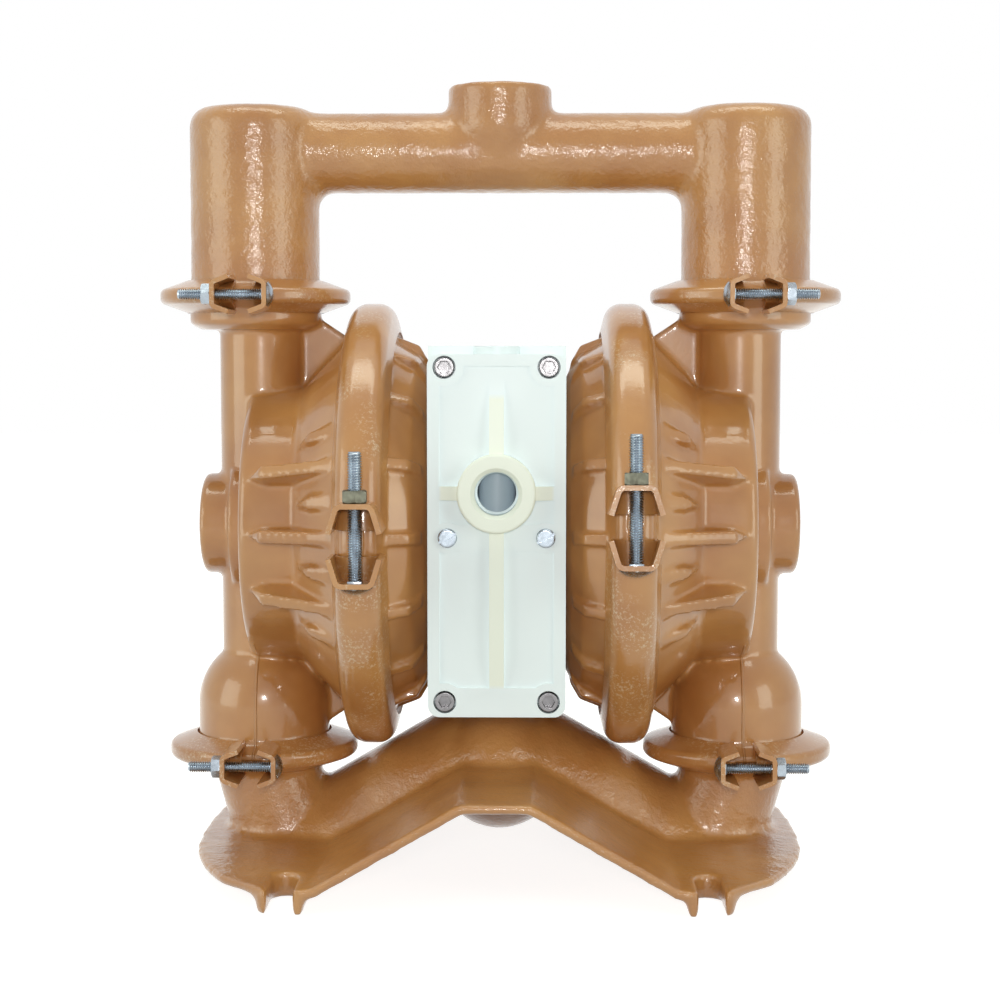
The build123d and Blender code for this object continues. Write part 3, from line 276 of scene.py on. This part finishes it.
def paint_material(name, peel, fine, scuffs=False, seams=False):
    """Glossy epoxy over a casting: peel and fine scale the depth of its coarse and of its small bumps."""
    look = bpy.context.scene.pump_paint
    seam_height = 0.5 * MM
    made, tree, shader, place = new_material(name)
    cloud = between(tree, speckle(tree, place, 45 * MM, 3), 0.35, 0.65)
    colour = mixed(tree, cloud, tuple(look.deep_colour), tuple(look.colour))
    if scuffs:
        colour = mixed(tree, scuffed_share(tree, place), colour, tuple(look.chip_colour))
    tree.links.new(colour, shader.inputs["Base Color"])
    shader.inputs["Roughness"].default_value = look.gloss
    shader.inputs["Coat Weight"].default_value = look.coat
    shader.inputs["Coat Roughness"].default_value = look.coat_roughness
    coarse = speckle(tree, place, look.peel_size, 2, 0.45)
    small = speckle(tree, place, look.peel_size / 3, 2, 0.5)
    layers = [(coarse, look.peel_depth * peel), (small, look.peel_depth * fine)]
    if seams:
        layers.append((seam_line(tree, place), seam_height))
    bumped(tree, shader, *layers)
    return made


def scuffed_share(tree, place):
    """Crumbly patches of wear, more of them on the lower half of the pump."""
    most_below = 150 * MM
    fewest_above = 240 * MM
    extra = 0.12
    strength = 0.6
    up = add_node(tree, "ShaderNodeSeparateXYZ", {"Vector": place}).outputs[2]
    low = between(tree, up, most_below, fewest_above, extra, 0.0)
    patches = between(tree, maths(tree, "ADD", speckle(tree, place, 24 * MM, 3), low), 0.50, 0.66)
    crumbs = between(tree, speckle(tree, place, 1.8 * MM, 5, 0.75), 0.52, 0.62)
    return maths(tree, "MULTIPLY", maths(tree, "MULTIPLY", patches, crumbs), strength)


def seam_line(tree, place):
    """The parting line of the mould, upright over each lower elbow."""
    crest = 0.3 * MM
    foot = 0.9 * MM
    full_up_to = 130.5 * MM
    gone_above = 132 * MM
    axes = add_node(tree, "ShaderNodeSeparateXYZ", {"Vector": place}).outputs
    across = maths(tree, "ABSOLUTE", axes[0])
    off_seam = maths(tree, "ABSOLUTE", maths(tree, "SUBTRACT", across, FLOW_COLUMN * MM))
    line = between(tree, off_seam, crest, foot, 1.0, 0.0)
    low = between(tree, axes[2], full_up_to, gone_above, 1.0, 0.0)
    return maths(tree, "MULTIPLY", line, low)


def steel_material(name, colour, roughness, brushed):
    """Plated or plain metal with stains and fine scratches."""
    made, tree, shader, place = new_material(name)
    stains = between(tree, speckle(tree, place, 6 * MM, 4), 0.3, 0.7)
    darker = tuple(channel * 0.72 for channel in colour[:3]) + (1.0,)
    tree.links.new(mixed(tree, stains, darker, tuple(colour)), shader.inputs["Base Color"])
    shader.inputs["Metallic"].default_value = 1.0
    rough = between(tree, speckle(tree, place, 2 * MM, 3), 0.3, 0.7, roughness * 0.75, roughness * 1.3)
    tree.links.new(rough, shader.inputs["Roughness"])
    bumped(tree, shader, (speckle(tree, place, 0.5 * MM, 3), brushed))
    return made


def plastic_material(name, colour, second, ribs=False):
    """Satin moulding, with the second colour in clouds, or on the ribs that stand out of its face."""
    made, tree, shader, place = new_material(name)
    if ribs:
        deep = add_node(tree, "ShaderNodeSeparateXYZ", {"Vector": place}).outputs[1]
        share = between(tree, deep, VALVE_FACE - 0.3 * MM, VALVE_FACE - 0.8 * MM)
    else:
        share = between(tree, speckle(tree, place, 30 * MM, 2), 0.3, 0.7)
    tree.links.new(mixed(tree, share, tuple(colour), tuple(second)), shader.inputs["Base Color"])
    shader.inputs["Roughness"].default_value = 0.38
    grain = (speckle(tree, place, 0.8 * MM, 2), 0.02 * MM)
    waves = (speckle(tree, place, 9 * MM), 0.05 * MM)
    bumped(tree, shader, grain, waves)
    return made


def rubber_material(name, colour):
    """Black or grey rubber with a powdery sheen."""
    made, tree, shader, place = new_material(name)
    cloud = between(tree, speckle(tree, place, 8 * MM, 3), 0.3, 0.7)
    lighter = tuple(min(1.0, channel * 1.8) for channel in colour[:3]) + (1.0,)
    tree.links.new(mixed(tree, cloud, tuple(colour), lighter), shader.inputs["Base Color"])
    shader.inputs["Roughness"].default_value = 0.55
    bumped(tree, shader, (speckle(tree, place, 0.6 * MM, 3), 0.03 * MM))
    return made


def build_materials():
    """One material for each slot of the record, under the slot's name."""
    steel = bpy.context.scene.pump_steel
    plastic = bpy.context.scene.pump_plastic
    return {
        "painted_sand_casting": paint_material("painted_sand_casting", peel=0.62, fine=0.25),
        "painted_casting": paint_material("painted_casting", peel=0.07, fine=0.02, seams=True),
        "painted_band": paint_material("painted_band", peel=0.14, fine=0.08, scuffs=True),
        "zinc_plate": steel_material("zinc_plate", steel.zinc, roughness=0.26, brushed=0.01 * MM),
        "grey_nut": steel_material("grey_nut", steel.dull, roughness=0.5, brushed=0.05 * MM),
        "bright_steel": steel_material("bright_steel", srgb(138, 136, 138), 0.3, 0.02 * MM),
        "piston_metal": steel_material("piston_metal", srgb(180, 182, 184), 0.35, 0.02 * MM),
        "shaft_steel": steel_material("shaft_steel", srgb(170, 178, 186), 0.28, 0.01 * MM),
        "spool_grey": plastic_material("spool_grey", srgb(176, 188, 200), srgb(166, 178, 190)),
        "bearing_bronze": steel_material("bearing_bronze", srgb(184, 142, 84), 0.35, 0.02 * MM),
        "pale_plastic": plastic_material("pale_plastic", plastic.colour, plastic.rib_colour, True),
        "seat_plastic": plastic_material("seat_plastic", srgb(236, 234, 226), srgb(228, 226, 216)),
        "ball_rubber": rubber_material("ball_rubber", srgb(38, 38, 38)),
        "diaphragm_rubber": rubber_material("diaphragm_rubber", srgb(30, 30, 30)),
        "seal_rubber": rubber_material("seal_rubber", srgb(26, 26, 26)),
        "gasket_sheet": rubber_material("gasket_sheet", srgb(58, 58, 60)),
    }


# Pieces
def finish_piece(name, mesh, node):
    """Puts a mesh in the scene in place of a node, with that node's material."""
    slot = SLOT_OF[node]
    piece = bpy.data.objects.new(name, mesh)
    bpy.context.scene.collection.objects.link(piece)
    mesh.materials.clear()
    mesh.materials.append(MATERIALS[slot])
    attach(piece, HOUSING)
    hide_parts(node)
    return piece


def merged_copy(node):
    """A bmesh of a node with its loose triangles joined."""
    weld = 0.004 * MM
    shape = bmesh.new()
    shape.from_mesh(NODES[node].data)
    bmesh.ops.remove_doubles(shape, verts=shape.verts, dist=weld)
    return shape


def to_mesh(name, shape):
    """A mesh from a bmesh, which is given up."""
    made = bpy.data.meshes.new(name)
    shape.to_mesh(made)
    shape.free()
    return made


def rebuilt(mesh, cell):
    """The mesh rebuilt on an even grid, by a voxel remesh that is applied at once."""
    carrier = bpy.data.objects.new("carrier", mesh)
    bpy.context.scene.collection.objects.link(carrier)
    remesh = carrier.modifiers.new("remesh", "REMESH")
    remesh.mode = "VOXEL"
    remesh.voxel_size = cell
    remesh.adaptivity = 0.0
    graph = bpy.context.evaluated_depsgraph_get()
    made = bpy.data.meshes.new_from_object(carrier.evaluated_get(graph))
    bpy.data.objects.remove(carrier)
    return made


# Rooms inside the castings, whose walls nothing shows. Each takes places in millimetres: how far they lie
# from the middle to either side, how deep and how high. Every room reaches into its walls by a margin.
BOWL_MARGIN = 3.0


def in_liquid_chamber(across, deep, up):
    """The bowl, the flow column and the ball room of a liquid chamber."""
    bowl_mouth = 77.0
    bowl_floor = 143.5
    step_places = (88.0, 106.0, 113.0, 141.0)
    step_radii = (100.0, 82.5, 75.5, 74.5)
    column_radius = 21.5
    column_foot = 88.0
    column_top = 334.0
    ball_centre = 90.5
    ball_radius = 36.6
    ball_room_top = 128.0
    wall = np.interp(across, step_places, step_radii) + BOWL_MARGIN
    bowl = (across > bowl_mouth) & (across < bowl_floor) & (np.hypot(deep, up - SHAFT_HEIGHT) < wall)
    column = (np.hypot(across - FLOW_COLUMN, deep) < column_radius) & (up > column_foot) & (up < column_top)
    above = np.maximum(up - ball_centre, 0)
    from_ball = np.sqrt((across - FLOW_COLUMN) ** 2 + deep**2 + above**2)
    return bowl | column | ((from_ball < ball_radius) & (up < ball_room_top))


def in_air_chamber(across, deep, up):
    """The dish behind a diaphragm, and the face on the centre block."""
    dish_floor = 42.0
    step_places = (45.0, 56.0, 72.5)
    step_radii = (72.0, 93.0, 100.0)
    block_face = 38.6
    face_radius = 70.0
    radius = np.hypot(deep, up - SHAFT_HEIGHT)
    wall = np.interp(across, step_places, step_radii) + BOWL_MARGIN
    return ((across > dish_floor) & (radius < wall)) | ((across < block_face) & (radius < face_radius))


def in_discharge_manifold(across, deep, up):
    """The ball rooms and the bar's bore, except where the port shows them."""
    cage_radius = 35.0
    cage_top = 438.0
    bar_height = 419.0
    bore_radius = 20.0
    bore_start = 60.0
    bore_end = 140.0
    cage = (np.hypot(across - BALL_CAGE, deep) < cage_radius) & (up < cage_top)
    bore = (np.hypot(deep, up - bar_height) < bore_radius) & (across > bore_start) & (across < bore_end)
    return cage | bore


def in_inlet_manifold(across, deep, up):
    """The far ends of the duct, the bores of the legs and the pockets of the seats."""
    slope = math.radians(30)
    fall = math.tan(slope)
    axis_bend = 24.7
    axis_bend_height = 43.4
    plate_bend = 19.65
    plate_bend_height = 60.7
    plate_foot_height = 14.6
    plate_margin = 1.5
    duct_radius = 42.5
    duct_start = 60.0
    duct_end = 150.0
    leg_heights = (18.6, 57.5)
    leg_places = (127.5, FLOW_COLUMN)
    leg_radius = 28.3
    leg_foot = 16.5
    pocket_radius = 37.0
    pocket_floor = 55.0
    axis_height = axis_bend_height - (across - axis_bend) * fall
    plate_top = np.maximum(plate_foot_height, plate_bend_height - (across - plate_bend) * fall)
    from_axis = np.hypot(deep, (up - axis_height) * math.cos(slope))
    duct = (across > duct_start) & (across < duct_end) & (from_axis < duct_radius)
    duct = duct & (up > plate_top - plate_margin)
    leg_middle = np.interp(up, leg_heights, leg_places)
    leg = (np.hypot(across - leg_middle, deep) < leg_radius) & (up > leg_foot)
    pocket = (np.hypot(across - FLOW_COLUMN, deep) < pocket_radius) & (up > pocket_floor)
    return duct | leg | pocket


def cast_piece(node, cell, passes, hidden_room, relief=0.0):
    """A casting with soft edges and fillets, from its sharp solid."""
    grid = cell * 1
    mesh = rebuilt(to_mesh(node + "_solid", merged_copy(node)), grid)
    shape = bmesh.new()
    shape.from_mesh(mesh)
    for _ in range(passes):
        bmesh.ops.smooth_vert(
            shape, verts=shape.verts, factor=0.5, use_axis_x=True, use_axis_y=True, use_axis_z=True,
        )
    if relief:
        roughen(shape, relief)
    mesh = to_mesh(node + "_cast", shape)
    piece = finish_piece(node + "_cast", mesh, node)
    thin_inside(piece, hidden_room)
    shaded(piece.data, 180)
    return piece


def roughen(shape, relief):
    """Dents of a sand mould, nearly always inwards, so that the piece keeps its size."""
    wide = 9 * MM
    narrow = 4 * MM
    narrow_share = 0.6
    inwards = 1.0
    shape.normal_update()
    dents = [
        (noise.noise(vert.co / wide) + narrow_share * noise.noise(vert.co / narrow) - inwards) * 0.5
        for vert in shape.verts
    ]
    for vert, dent in zip(shape.verts, dents):
        vert.co += vert.normal * (dent * relief)


def thin_inside(piece, hidden_room):
    """Takes triangles out of the walls inside a casting, which nothing shows."""
    most_taken = 0.9
    mesh = piece.data
    places = np.empty(len(mesh.vertices) * 3)
    mesh.vertices.foreach_get("co", places)
    places = places.reshape(-1, 3) / MM
    hidden = hidden_room(np.abs(places[:, 0]), places[:, 1], places[:, 2])
    group = piece.vertex_groups.new(name="inside")
    group.add([int(i) for i in np.flatnonzero(hidden)], 1.0, "REPLACE")
    thin = piece.modifiers.new("thin", "DECIMATE")
    thin.ratio = 1.0 - most_taken * float(hidden.mean())
    thin.vertex_group = group.name
    thin.vertex_group_factor = 1.0
    graph = bpy.context.evaluated_depsgraph_get()
    made = bpy.data.meshes.new_from_object(piece.evaluated_get(graph))
    piece.modifiers.remove(thin)
    piece.vertex_groups.remove(group)
    piece.data = made


class PUMP_OT_castings(bpy.types.Operator):
    """Round the manifolds and chambers like sand castings"""

    bl_idname = "pump.castings"
    bl_label = "Castings"

    def execute(self, context):
        look = context.scene.pump_casting
        passes = look.manifold_passes
        dents = look.relief
        cast_piece("discharge_manifold", look.top_cell, passes, in_discharge_manifold, dents)
        cast_piece("inlet_manifold", look.foot_cell, passes, in_inlet_manifold, dents)
        for side in ("left", "right"):
            cast_piece("liquid_chamber_" + side, look.liquid_cell, look.chamber_passes, in_liquid_chamber)
            cast_piece("air_chamber_" + side, look.air_cell, look.chamber_passes, in_air_chamber)
        return {"FINISHED"}


# Fasteners
class BoltKind:
    """Sizes of one kind of carriage bolt and its nut, given in millimetres and kept in metres."""

    def __init__(self, **sizes):
        for name, size in sizes.items():
            setattr(self, name, size * MM)


# web is the distance of the ears from the middle of the bolt, and off_middle that of the bolt from the middle
# of its band
LARGE = BoltKind(
    radius=3.97, web=22.7, sheet=2.8, tip=50.0, head_radius=9.5, head_height=3.6, across=12.7, nut_height=6.8,
    off_middle=138.8,
)
SMALL = BoltKind(
    radius=3.17, web=16.0, sheet=2.6, tip=35.0, head_radius=7.4, head_height=3.2, across=11.1, nut_height=5.6,
    off_middle=66.5,
)
RIGHT_BAND_TURN = math.radians(-3.9)


def front_and_rear(kind):
    """The shifts to a band's two bolts."""
    return [Matrix.Translation((0, front * kind.off_middle, 0)) for front in (-1, 1)]


def large_bolt_places():
    """Frames whose X runs up along each large bolt, from the middle of its band."""
    up = Matrix.Rotation(math.radians(-90), 4, "Y")
    for side, turn in (("left", 0.0), ("right", RIGHT_BAND_TURN)):
        across = middle_of("large_clamp_" + side + "_upper").x
        middle = Matrix.Translation((across, 0, SHAFT_HEIGHT * MM)) @ Matrix.Rotation(turn, 4, "X")
        for shift in front_and_rear(LARGE):
            yield middle @ up @ shift


def small_bolt_places():
    """Frames whose X runs outward along each small bolt."""
    for band in ("upper_left", "upper_right", "lower_left", "lower_right"):
        middle = middle_of("small_clamp_" + band + "_inner", "small_clamp_" + band + "_outer")
        facing = Matrix.Rotation(0 if middle.x > 0 else math.pi, 4, "Z")
        for shift in front_and_rear(SMALL):
            yield Matrix.Translation(middle) @ facing @ shift


def ring_skin(shape, rings, capped=True):
    """Faces through rings of points about X, with caps at both ends unless told otherwise."""
    rows = [[shape.verts.new(point) for point in ring] for ring in rings]
    count = len(rows[0])
    for low, high in zip(rows, rows[1:]):
        for i in range(count):
            j = (i + 1) % count
            shape.faces.new((low[i], high[i], high[j], low[j]))
    if capped:
        shape.faces.new(rows[0])
        shape.faces.new(list(reversed(rows[-1])))
    return rows


def circle_ring(x, radius, count):
    """Points of a circle about X."""
    angles = [2 * math.pi * i / count for i in range(count)]
    return [(x, radius * math.cos(a), radius * math.sin(a)) for a in angles]


def threaded_rod(shape, start, end, radius, pitch, around=20, per_turn=8):
    """A rod along X with a real V thread and a chamfered tip."""
    depth = 0.54 * pitch
    flank_slope = 2.6
    root_flat = 0.15
    chamfer_length = 1.1 * pitch
    chamfer_depth = 1.15 * depth
    steps = int((end - start) / pitch * per_turn)
    rings = []
    for step in range(steps + 1):
        x = start + (end - start) * step / steps
        lead = min(1.0, (end - x) / chamfer_length)
        points = []
        for i in range(around):
            turn = i / around
            phase = (x / pitch - turn) % 1.0
            height = min(1.0, max(0.0, flank_slope * abs(phase - 0.5) - root_flat))
            reach = radius - depth * (1 - height)
            reach = min(reach, radius - chamfer_depth * (1 - lead))
            angle = 2 * math.pi * turn
            points.append((x, reach * math.cos(angle), reach * math.sin(angle)))
        rings.append(points)
    ring_skin(shape, rings)


def turned_x(shape, profile, count=40):
    """A body turned about X from (x, radius) pairs."""
    tip = 0.02 * MM
    ring_skin(shape, [circle_ring(x, max(radius, tip), count) for x, radius in profile])


def domed_head(shape, face, radius, height):
    """A shallow dome with a rounded rim, its flat side at face, bulging towards -X."""
    crown = (radius * radius + height * height) / (2 * height)
    rim = 0.22 * height
    rim_round = 0.3 * rim
    dome_start = math.asin(min(1.0, (radius - 0.2 * rim) / crown))
    steps = 10
    profile = [(face, radius - rim_round), (face - rim_round, radius)]
    for step in range(steps + 1):
        angle = dome_start * (1 - step / steps)
        x = face - height + crown - crown * math.cos(angle)
        profile.append((min(x, face - rim_round), crown * math.sin(angle)))
    turned_x(shape, profile)


def square_neck(shape, start, end, half):
    """The square neck under a domed head."""
    rounding = 0.35 * MM
    made = bmesh.ops.create_cube(shape, size=1.0)["verts"]
    bmesh.ops.scale(shape, verts=made, vec=(end - start, 2 * half, 2 * half))
    bmesh.ops.translate(shape, verts=made, vec=((start + end) / 2, 0, 0))
    edges = list({edge for vert in made for edge in vert.link_edges})
    bmesh.ops.bevel(
        shape, geom=edges, offset=rounding, segments=2, profile=0.5, affect="EDGES", material=-1,
        clamp_overlap=True,
    )


def hexagon_nut(shape, start, height, across, hole):
    """A nut along X, chamfered on both faces, with a countersunk hole."""
    count = 72
    half = across / 2
    face_round = 0.94 * half
    chamfer_slope = 1.9
    sink = 0.5 * MM
    end = start + height

    def reach(angle, level):
        flat = half / math.cos((angle % (math.pi / 3)) - math.pi / 6)
        return min(flat, face_round + level * chamfer_slope)

    levels = [0, 0.2 * MM, 0.4 * MM, 0.6 * MM, 0.9 * MM, height / 2]
    levels += [height - level for level in reversed(levels[:-1])]
    angles = [2 * math.pi * i / count for i in range(count)]
    rings = [circle_ring(start + sink, hole, count), circle_ring(start, hole + sink, count)]
    for level in levels:
        inward = min(level, height - level)
        rings.append([
            (start + level, reach(a, inward) * math.cos(a), reach(a, inward) * math.sin(a)) for a in angles
        ])
    rings += [circle_ring(end, hole + sink, count), circle_ring(end - sink, hole, count)]
    rows = ring_skin(shape, rings, capped=False)
    for i in range(count):
        j = (i + 1) % count
        shape.faces.new((rows[-1][i], rows[0][i], rows[0][j], rows[-1][j]))


def placed(source, shape, places):
    """Copies of a small bmesh at each place, joined into another."""
    for place in places:
        first = len(shape.verts)
        mesh = bpy.data.meshes.new("part_of_a_group")
        source.to_mesh(mesh)
        shape.from_mesh(mesh)
        bpy.data.meshes.remove(mesh)
        shape.verts.ensure_lookup_table()
        bmesh.ops.transform(shape, matrix=place, verts=shape.verts[first:])
    source.free()


def shaded(mesh, angle):
    """Smooth faces with the sharper edges kept crisp."""
    for face in mesh.polygons:
        face.use_smooth = True
    mesh.set_sharp_from_angle(angle=math.radians(angle))
    return mesh


def bolt_group(name, kind, pitch, places, node):
    """All bolts of one kind, threaded from the neck to the tip."""
    one = bmesh.new()
    face = -kind.web
    neck_start = face - 0.2 * MM
    neck_end = face + kind.sheet + 0.9 * MM
    thread_start = neck_end - 0.5 * MM
    domed_head(one, face, kind.head_radius, kind.head_height)
    square_neck(one, neck_start, neck_end, kind.radius)
    threaded_rod(one, thread_start, kind.tip, kind.radius, pitch)
    whole = bmesh.new()
    placed(one, whole, places)
    bmesh.ops.recalc_face_normals(whole, faces=whole.faces)
    return finish_piece(name, shaded(to_mesh(name, whole), 32), node)


def nut_group(name, kind, places, node, turns):
    """All nuts of one kind, each tightened to its own angle, in degrees."""
    hole = kind.radius * 0.97
    whole = bmesh.new()
    for place, turn in zip(places, turns):
        one = bmesh.new()
        hexagon_nut(one, kind.web, kind.nut_height, kind.across, hole)
        placed(one, whole, [place @ Matrix.Rotation(math.radians(turn), 4, "X")])
    bmesh.ops.recalc_face_normals(whole, faces=whole.faces)
    return finish_piece(name, shaded(to_mesh(name, whole), 24), node)


class PUMP_OT_clamp_bolts(bpy.types.Operator):
    """Thread the carriage bolts of the bands and chamfer their nuts"""

    bl_idname = "pump.clamp_bolts"
    bl_label = "Clamp bolts and nuts"

    def execute(self, context):
        look = context.scene.pump_steel
        large = list(large_bolt_places())
        small = list(small_bolt_places())
        large_turns = (2, 15, -3, 8)
        small_turns = (28, 5, 33, 12, 24, 50, 31, 7)
        bolt_group("large_bolts", LARGE, look.large_pitch, large, "large_clamp_bolts")
        bolt_group("small_bolts", SMALL, look.small_pitch, small, "small_clamp_bolts")
        nut_group("large_nuts", LARGE, large, "large_clamp_nuts", large_turns)
        nut_group("small_nuts", SMALL, small, "small_clamp_nuts", small_turns)
        return {"FINISHED"}


def eased_copy(node, width, segments=2, sharp=38):
    """A merged copy of a node whose sharp edges are rounded off."""
    flat_within = math.radians(0.6)
    limit = math.radians(28)
    shape = merged_copy(node)
    bmesh.ops.dissolve_limit(
        shape, angle_limit=flat_within, verts=shape.verts, edges=shape.edges, use_dissolve_boundaries=False,
    )
    edges = [e for e in shape.edges if len(e.link_faces) == 2 and e.calc_face_angle(0.0) > limit]
    bmesh.ops.bevel(
        shape, geom=edges, offset=width, segments=segments, profile=0.5, affect="EDGES", material=-1,
        clamp_overlap=True,
    )
    bmesh.ops.triangulate(shape, faces=[f for f in shape.faces if len(f.verts) > 4])
    name = node + "_eased"
    piece = finish_piece(name, shaded(to_mesh(name, shape), sharp), node)
    flat = piece.modifiers.new("flat_faces", "WEIGHTED_NORMAL")
    flat.mode = "FACE_AREA"
    flat.keep_sharp = True
    return piece


class PUMP_OT_bands(bpy.types.Operator):
    """Round the edges of the clamp bands and their ears"""

    bl_idname = "pump.bands"
    bl_label = "Clamp bands"

    def execute(self, context):
        for node in NODES:
            if "clamp" in node and "bolts" not in node and "nuts" not in node:
                eased_copy(node, 0.7 * MM, segments=3)
        return {"FINISHED"}


class PUMP_OT_valve(bpy.types.Operator):
    """Ease the edges of the air valve's moulding, the rear plate, the block and the screws"""

    bl_idname = "pump.valve"
    bl_label = "Air valve"

    def execute(self, context):
        eased_copy("air_valve_body", 0.35 * MM)
        eased_copy("muffler_plate", 0.5 * MM)
        eased_copy("centre_block", 0.4 * MM)
        eased_copy("corner_screws", 0.2 * MM, sharp=30)
        eased_copy("slotted_screws", 0.3 * MM, sharp=30)
        return {"FINISHED"}


class PUMP_OT_inner_pieces(bpy.types.Operator):
    """Give every node that keeps its own shape the material of its slot"""

    bl_idname = "pump.inner_pieces"
    bl_label = "Nodes that keep their shape"

    def execute(self, context):
        for name, node in NODES.items():
            node.data.materials.clear()
            node.data.materials.append(MATERIALS[SLOT_OF[name]])
        return {"FINISHED"}


# Stage
LAMP_AIM = Vector((0.0, 0.0, 0.22))
COOL_LIGHT = (0.96, 1.0, 0.88)
WARM_LIGHT = (1.0, 0.99, 0.97)


def soft_lamp(name, place, size, watts, colour=COOL_LIGHT):
    """A rectangular area lamp that points at the pump."""
    lamp = bpy.data.lights.new(name, "AREA")
    lamp.shape = "RECTANGLE"
    lamp.size = size[0]
    lamp.size_y = size[1]
    lamp.energy = watts
    lamp.color = colour
    made = bpy.data.objects.new(name, lamp)
    made.location = place
    made.rotation_euler = (LAMP_AIM - Vector(place)).to_track_quat("-Z", "Y").to_euler()
    bpy.context.scene.collection.objects.link(made)
    return made


def make_world():
    """Dim light from all round, behind a white background."""
    world = bpy.data.worlds.new("studio")
    bpy.context.scene.world = world
    world.use_nodes = True
    tree = world.node_tree
    tree.nodes.clear()
    light = add_node(tree, "ShaderNodeBackground", {"Color": (0.95, 1.0, 0.96, 1.0), "Strength": 0.30})
    white = add_node(tree, "ShaderNodeBackground", {"Color": WHITE, "Strength": 1.0})
    shares = {0: seen_ray(tree), 1: light.outputs[0], 2: white.outputs[0]}
    chosen = add_node(tree, "ShaderNodeMixShader", shares)
    add_node(tree, "ShaderNodeOutputWorld", {"Surface": chosen.outputs[0]})


def seen_ray(tree):
    """1 for what the camera sees, straight, in a reflection or through glass."""
    rays = add_node(tree, "ShaderNodeLightPath")
    seen = maths(tree, "MAXIMUM", rays.outputs["Is Camera Ray"], rays.outputs["Is Glossy Ray"])
    return maths(tree, "MAXIMUM", seen, rays.outputs["Is Transmission Ray"])


def floor_material():
    """White to the camera, with the pump's shadow kept."""
    near = 0.35
    far = 1.0
    near_glow = 0.86
    made, tree, shader, place = new_material("studio_floor")
    shader.inputs["Base Color"].default_value = (0.5, 0.5, 0.5, 1.0)
    shader.inputs["Roughness"].default_value = 0.9
    shader.inputs["Specular IOR Level"].default_value = 0.0
    shader.inputs["Emission Color"].default_value = WHITE
    away = add_node(tree, "ShaderNodeVectorMath", {0: place}, operation="LENGTH").outputs["Value"]
    glow = between(tree, away, near, far, near_glow, 1.0)
    tree.links.new(maths(tree, "MULTIPLY", seen_ray(tree), glow), shader.inputs["Emission Strength"])
    return made


def make_floor():
    """A wide floor under the pump."""
    shape = bmesh.new()
    bmesh.ops.create_grid(shape, x_segments=1, y_segments=1, size=6.0)
    mesh = to_mesh("floor", shape)
    mesh.materials.append(floor_material())
    floor = bpy.data.objects.new("floor", mesh)
    bpy.context.scene.collection.objects.link(floor)


def place_camera(scene):
    """The camera in front of the pump, turned and tilted as the stage says."""
    look = scene.pump_stage
    away = look.distance
    camera = bpy.data.cameras.new("camera")
    camera.lens = look.lens
    camera.sensor_width = 36.0
    seen = bpy.data.objects.new("camera", camera)
    seen.location = (away * math.sin(look.turn), -away * math.cos(look.turn), look.height)
    seen.rotation_euler = (math.pi / 2 - look.pitch, 0, look.turn)
    scene.collection.objects.link(seen)
    scene.camera = seen


class PUMP_OT_stage(bpy.types.Operator):
    """Set the floor, the lamps and the camera"""

    bl_idname = "pump.stage"
    bl_label = "Stage"

    def execute(self, context):
        make_floor()
        make_world()
        soft_lamp("flash", place=(0.02, -1.45, 0.43), size=(0.13, 0.13), watts=4.7, colour=WARM_LIGHT)
        soft_lamp("panel_left", place=(-1.35, -0.75, 0.45), size=(0.9, 1.1), watts=7.2)
        soft_lamp("panel_right", place=(1.25, -1.05, 0.45), size=(0.7, 1.1), watts=6.7)
        soft_lamp("overhead", place=(0.0, -0.15, 1.45), size=(1.3, 0.35), watts=6.0)
        fill = soft_lamp("fill_back", place=(0.3, 1.6, 0.8), size=(1.2, 1.0), watts=9.0)
        fill.visible_glossy = False
        place_camera(context.scene)
        context.scene.view_settings.view_transform = "Standard"
        return {"FINISHED"}


OPERATORS = (
    PUMP_OT_inner_pieces,
    PUMP_OT_castings,
    PUMP_OT_bands,
    PUMP_OT_clamp_bolts,
    PUMP_OT_valve,
    PUMP_OT_stage,
)


class PUMP_PT_looks(bpy.types.Panel):
    """Every step of the pump's looks"""

    bl_label = "Pump looks"
    bl_idname = "PUMP_PT_looks"
    bl_space_type = "VIEW_3D"
    bl_region_type = "UI"
    bl_category = "Pump"

    def draw(self, context):
        for operator in OPERATORS:
            self.layout.operator(operator.bl_idname)


GROUPS = {
    "pump_paint": PumpPaint,
    "pump_casting": PumpCasting,
    "pump_steel": PumpSteel,
    "pump_plastic": PumpPlastic,
    "pump_stage": PumpStage,
}


def register():
    """Adds the groups of settings, the operators and the panel."""
    for name, group in GROUPS.items():
        bpy.utils.register_class(group)
        setattr(bpy.types.Scene, name, bpy.props.PointerProperty(type=group))
    for operator in OPERATORS:
        bpy.utils.register_class(operator)
    bpy.utils.register_class(PUMP_PT_looks)


def unregister():
    """Takes them all out again."""
    bpy.utils.unregister_class(PUMP_PT_looks)
    for operator in reversed(OPERATORS):
        bpy.utils.unregister_class(operator)
    for name, group in reversed(list(GROUPS.items())):
        delattr(bpy.types.Scene, name)
        bpy.utils.unregister_class(group)


def main():
    """Dresses the pump and sets the stage."""
    register()
    MATERIALS.update(build_materials())
    bpy.ops.pump.inner_pieces()
    bpy.ops.pump.castings()
    bpy.ops.pump.bands()
    bpy.ops.pump.clamp_bolts()
    bpy.ops.pump.valve()
    bpy.ops.pump.stage()


if __name__ == "__main__":
    main()
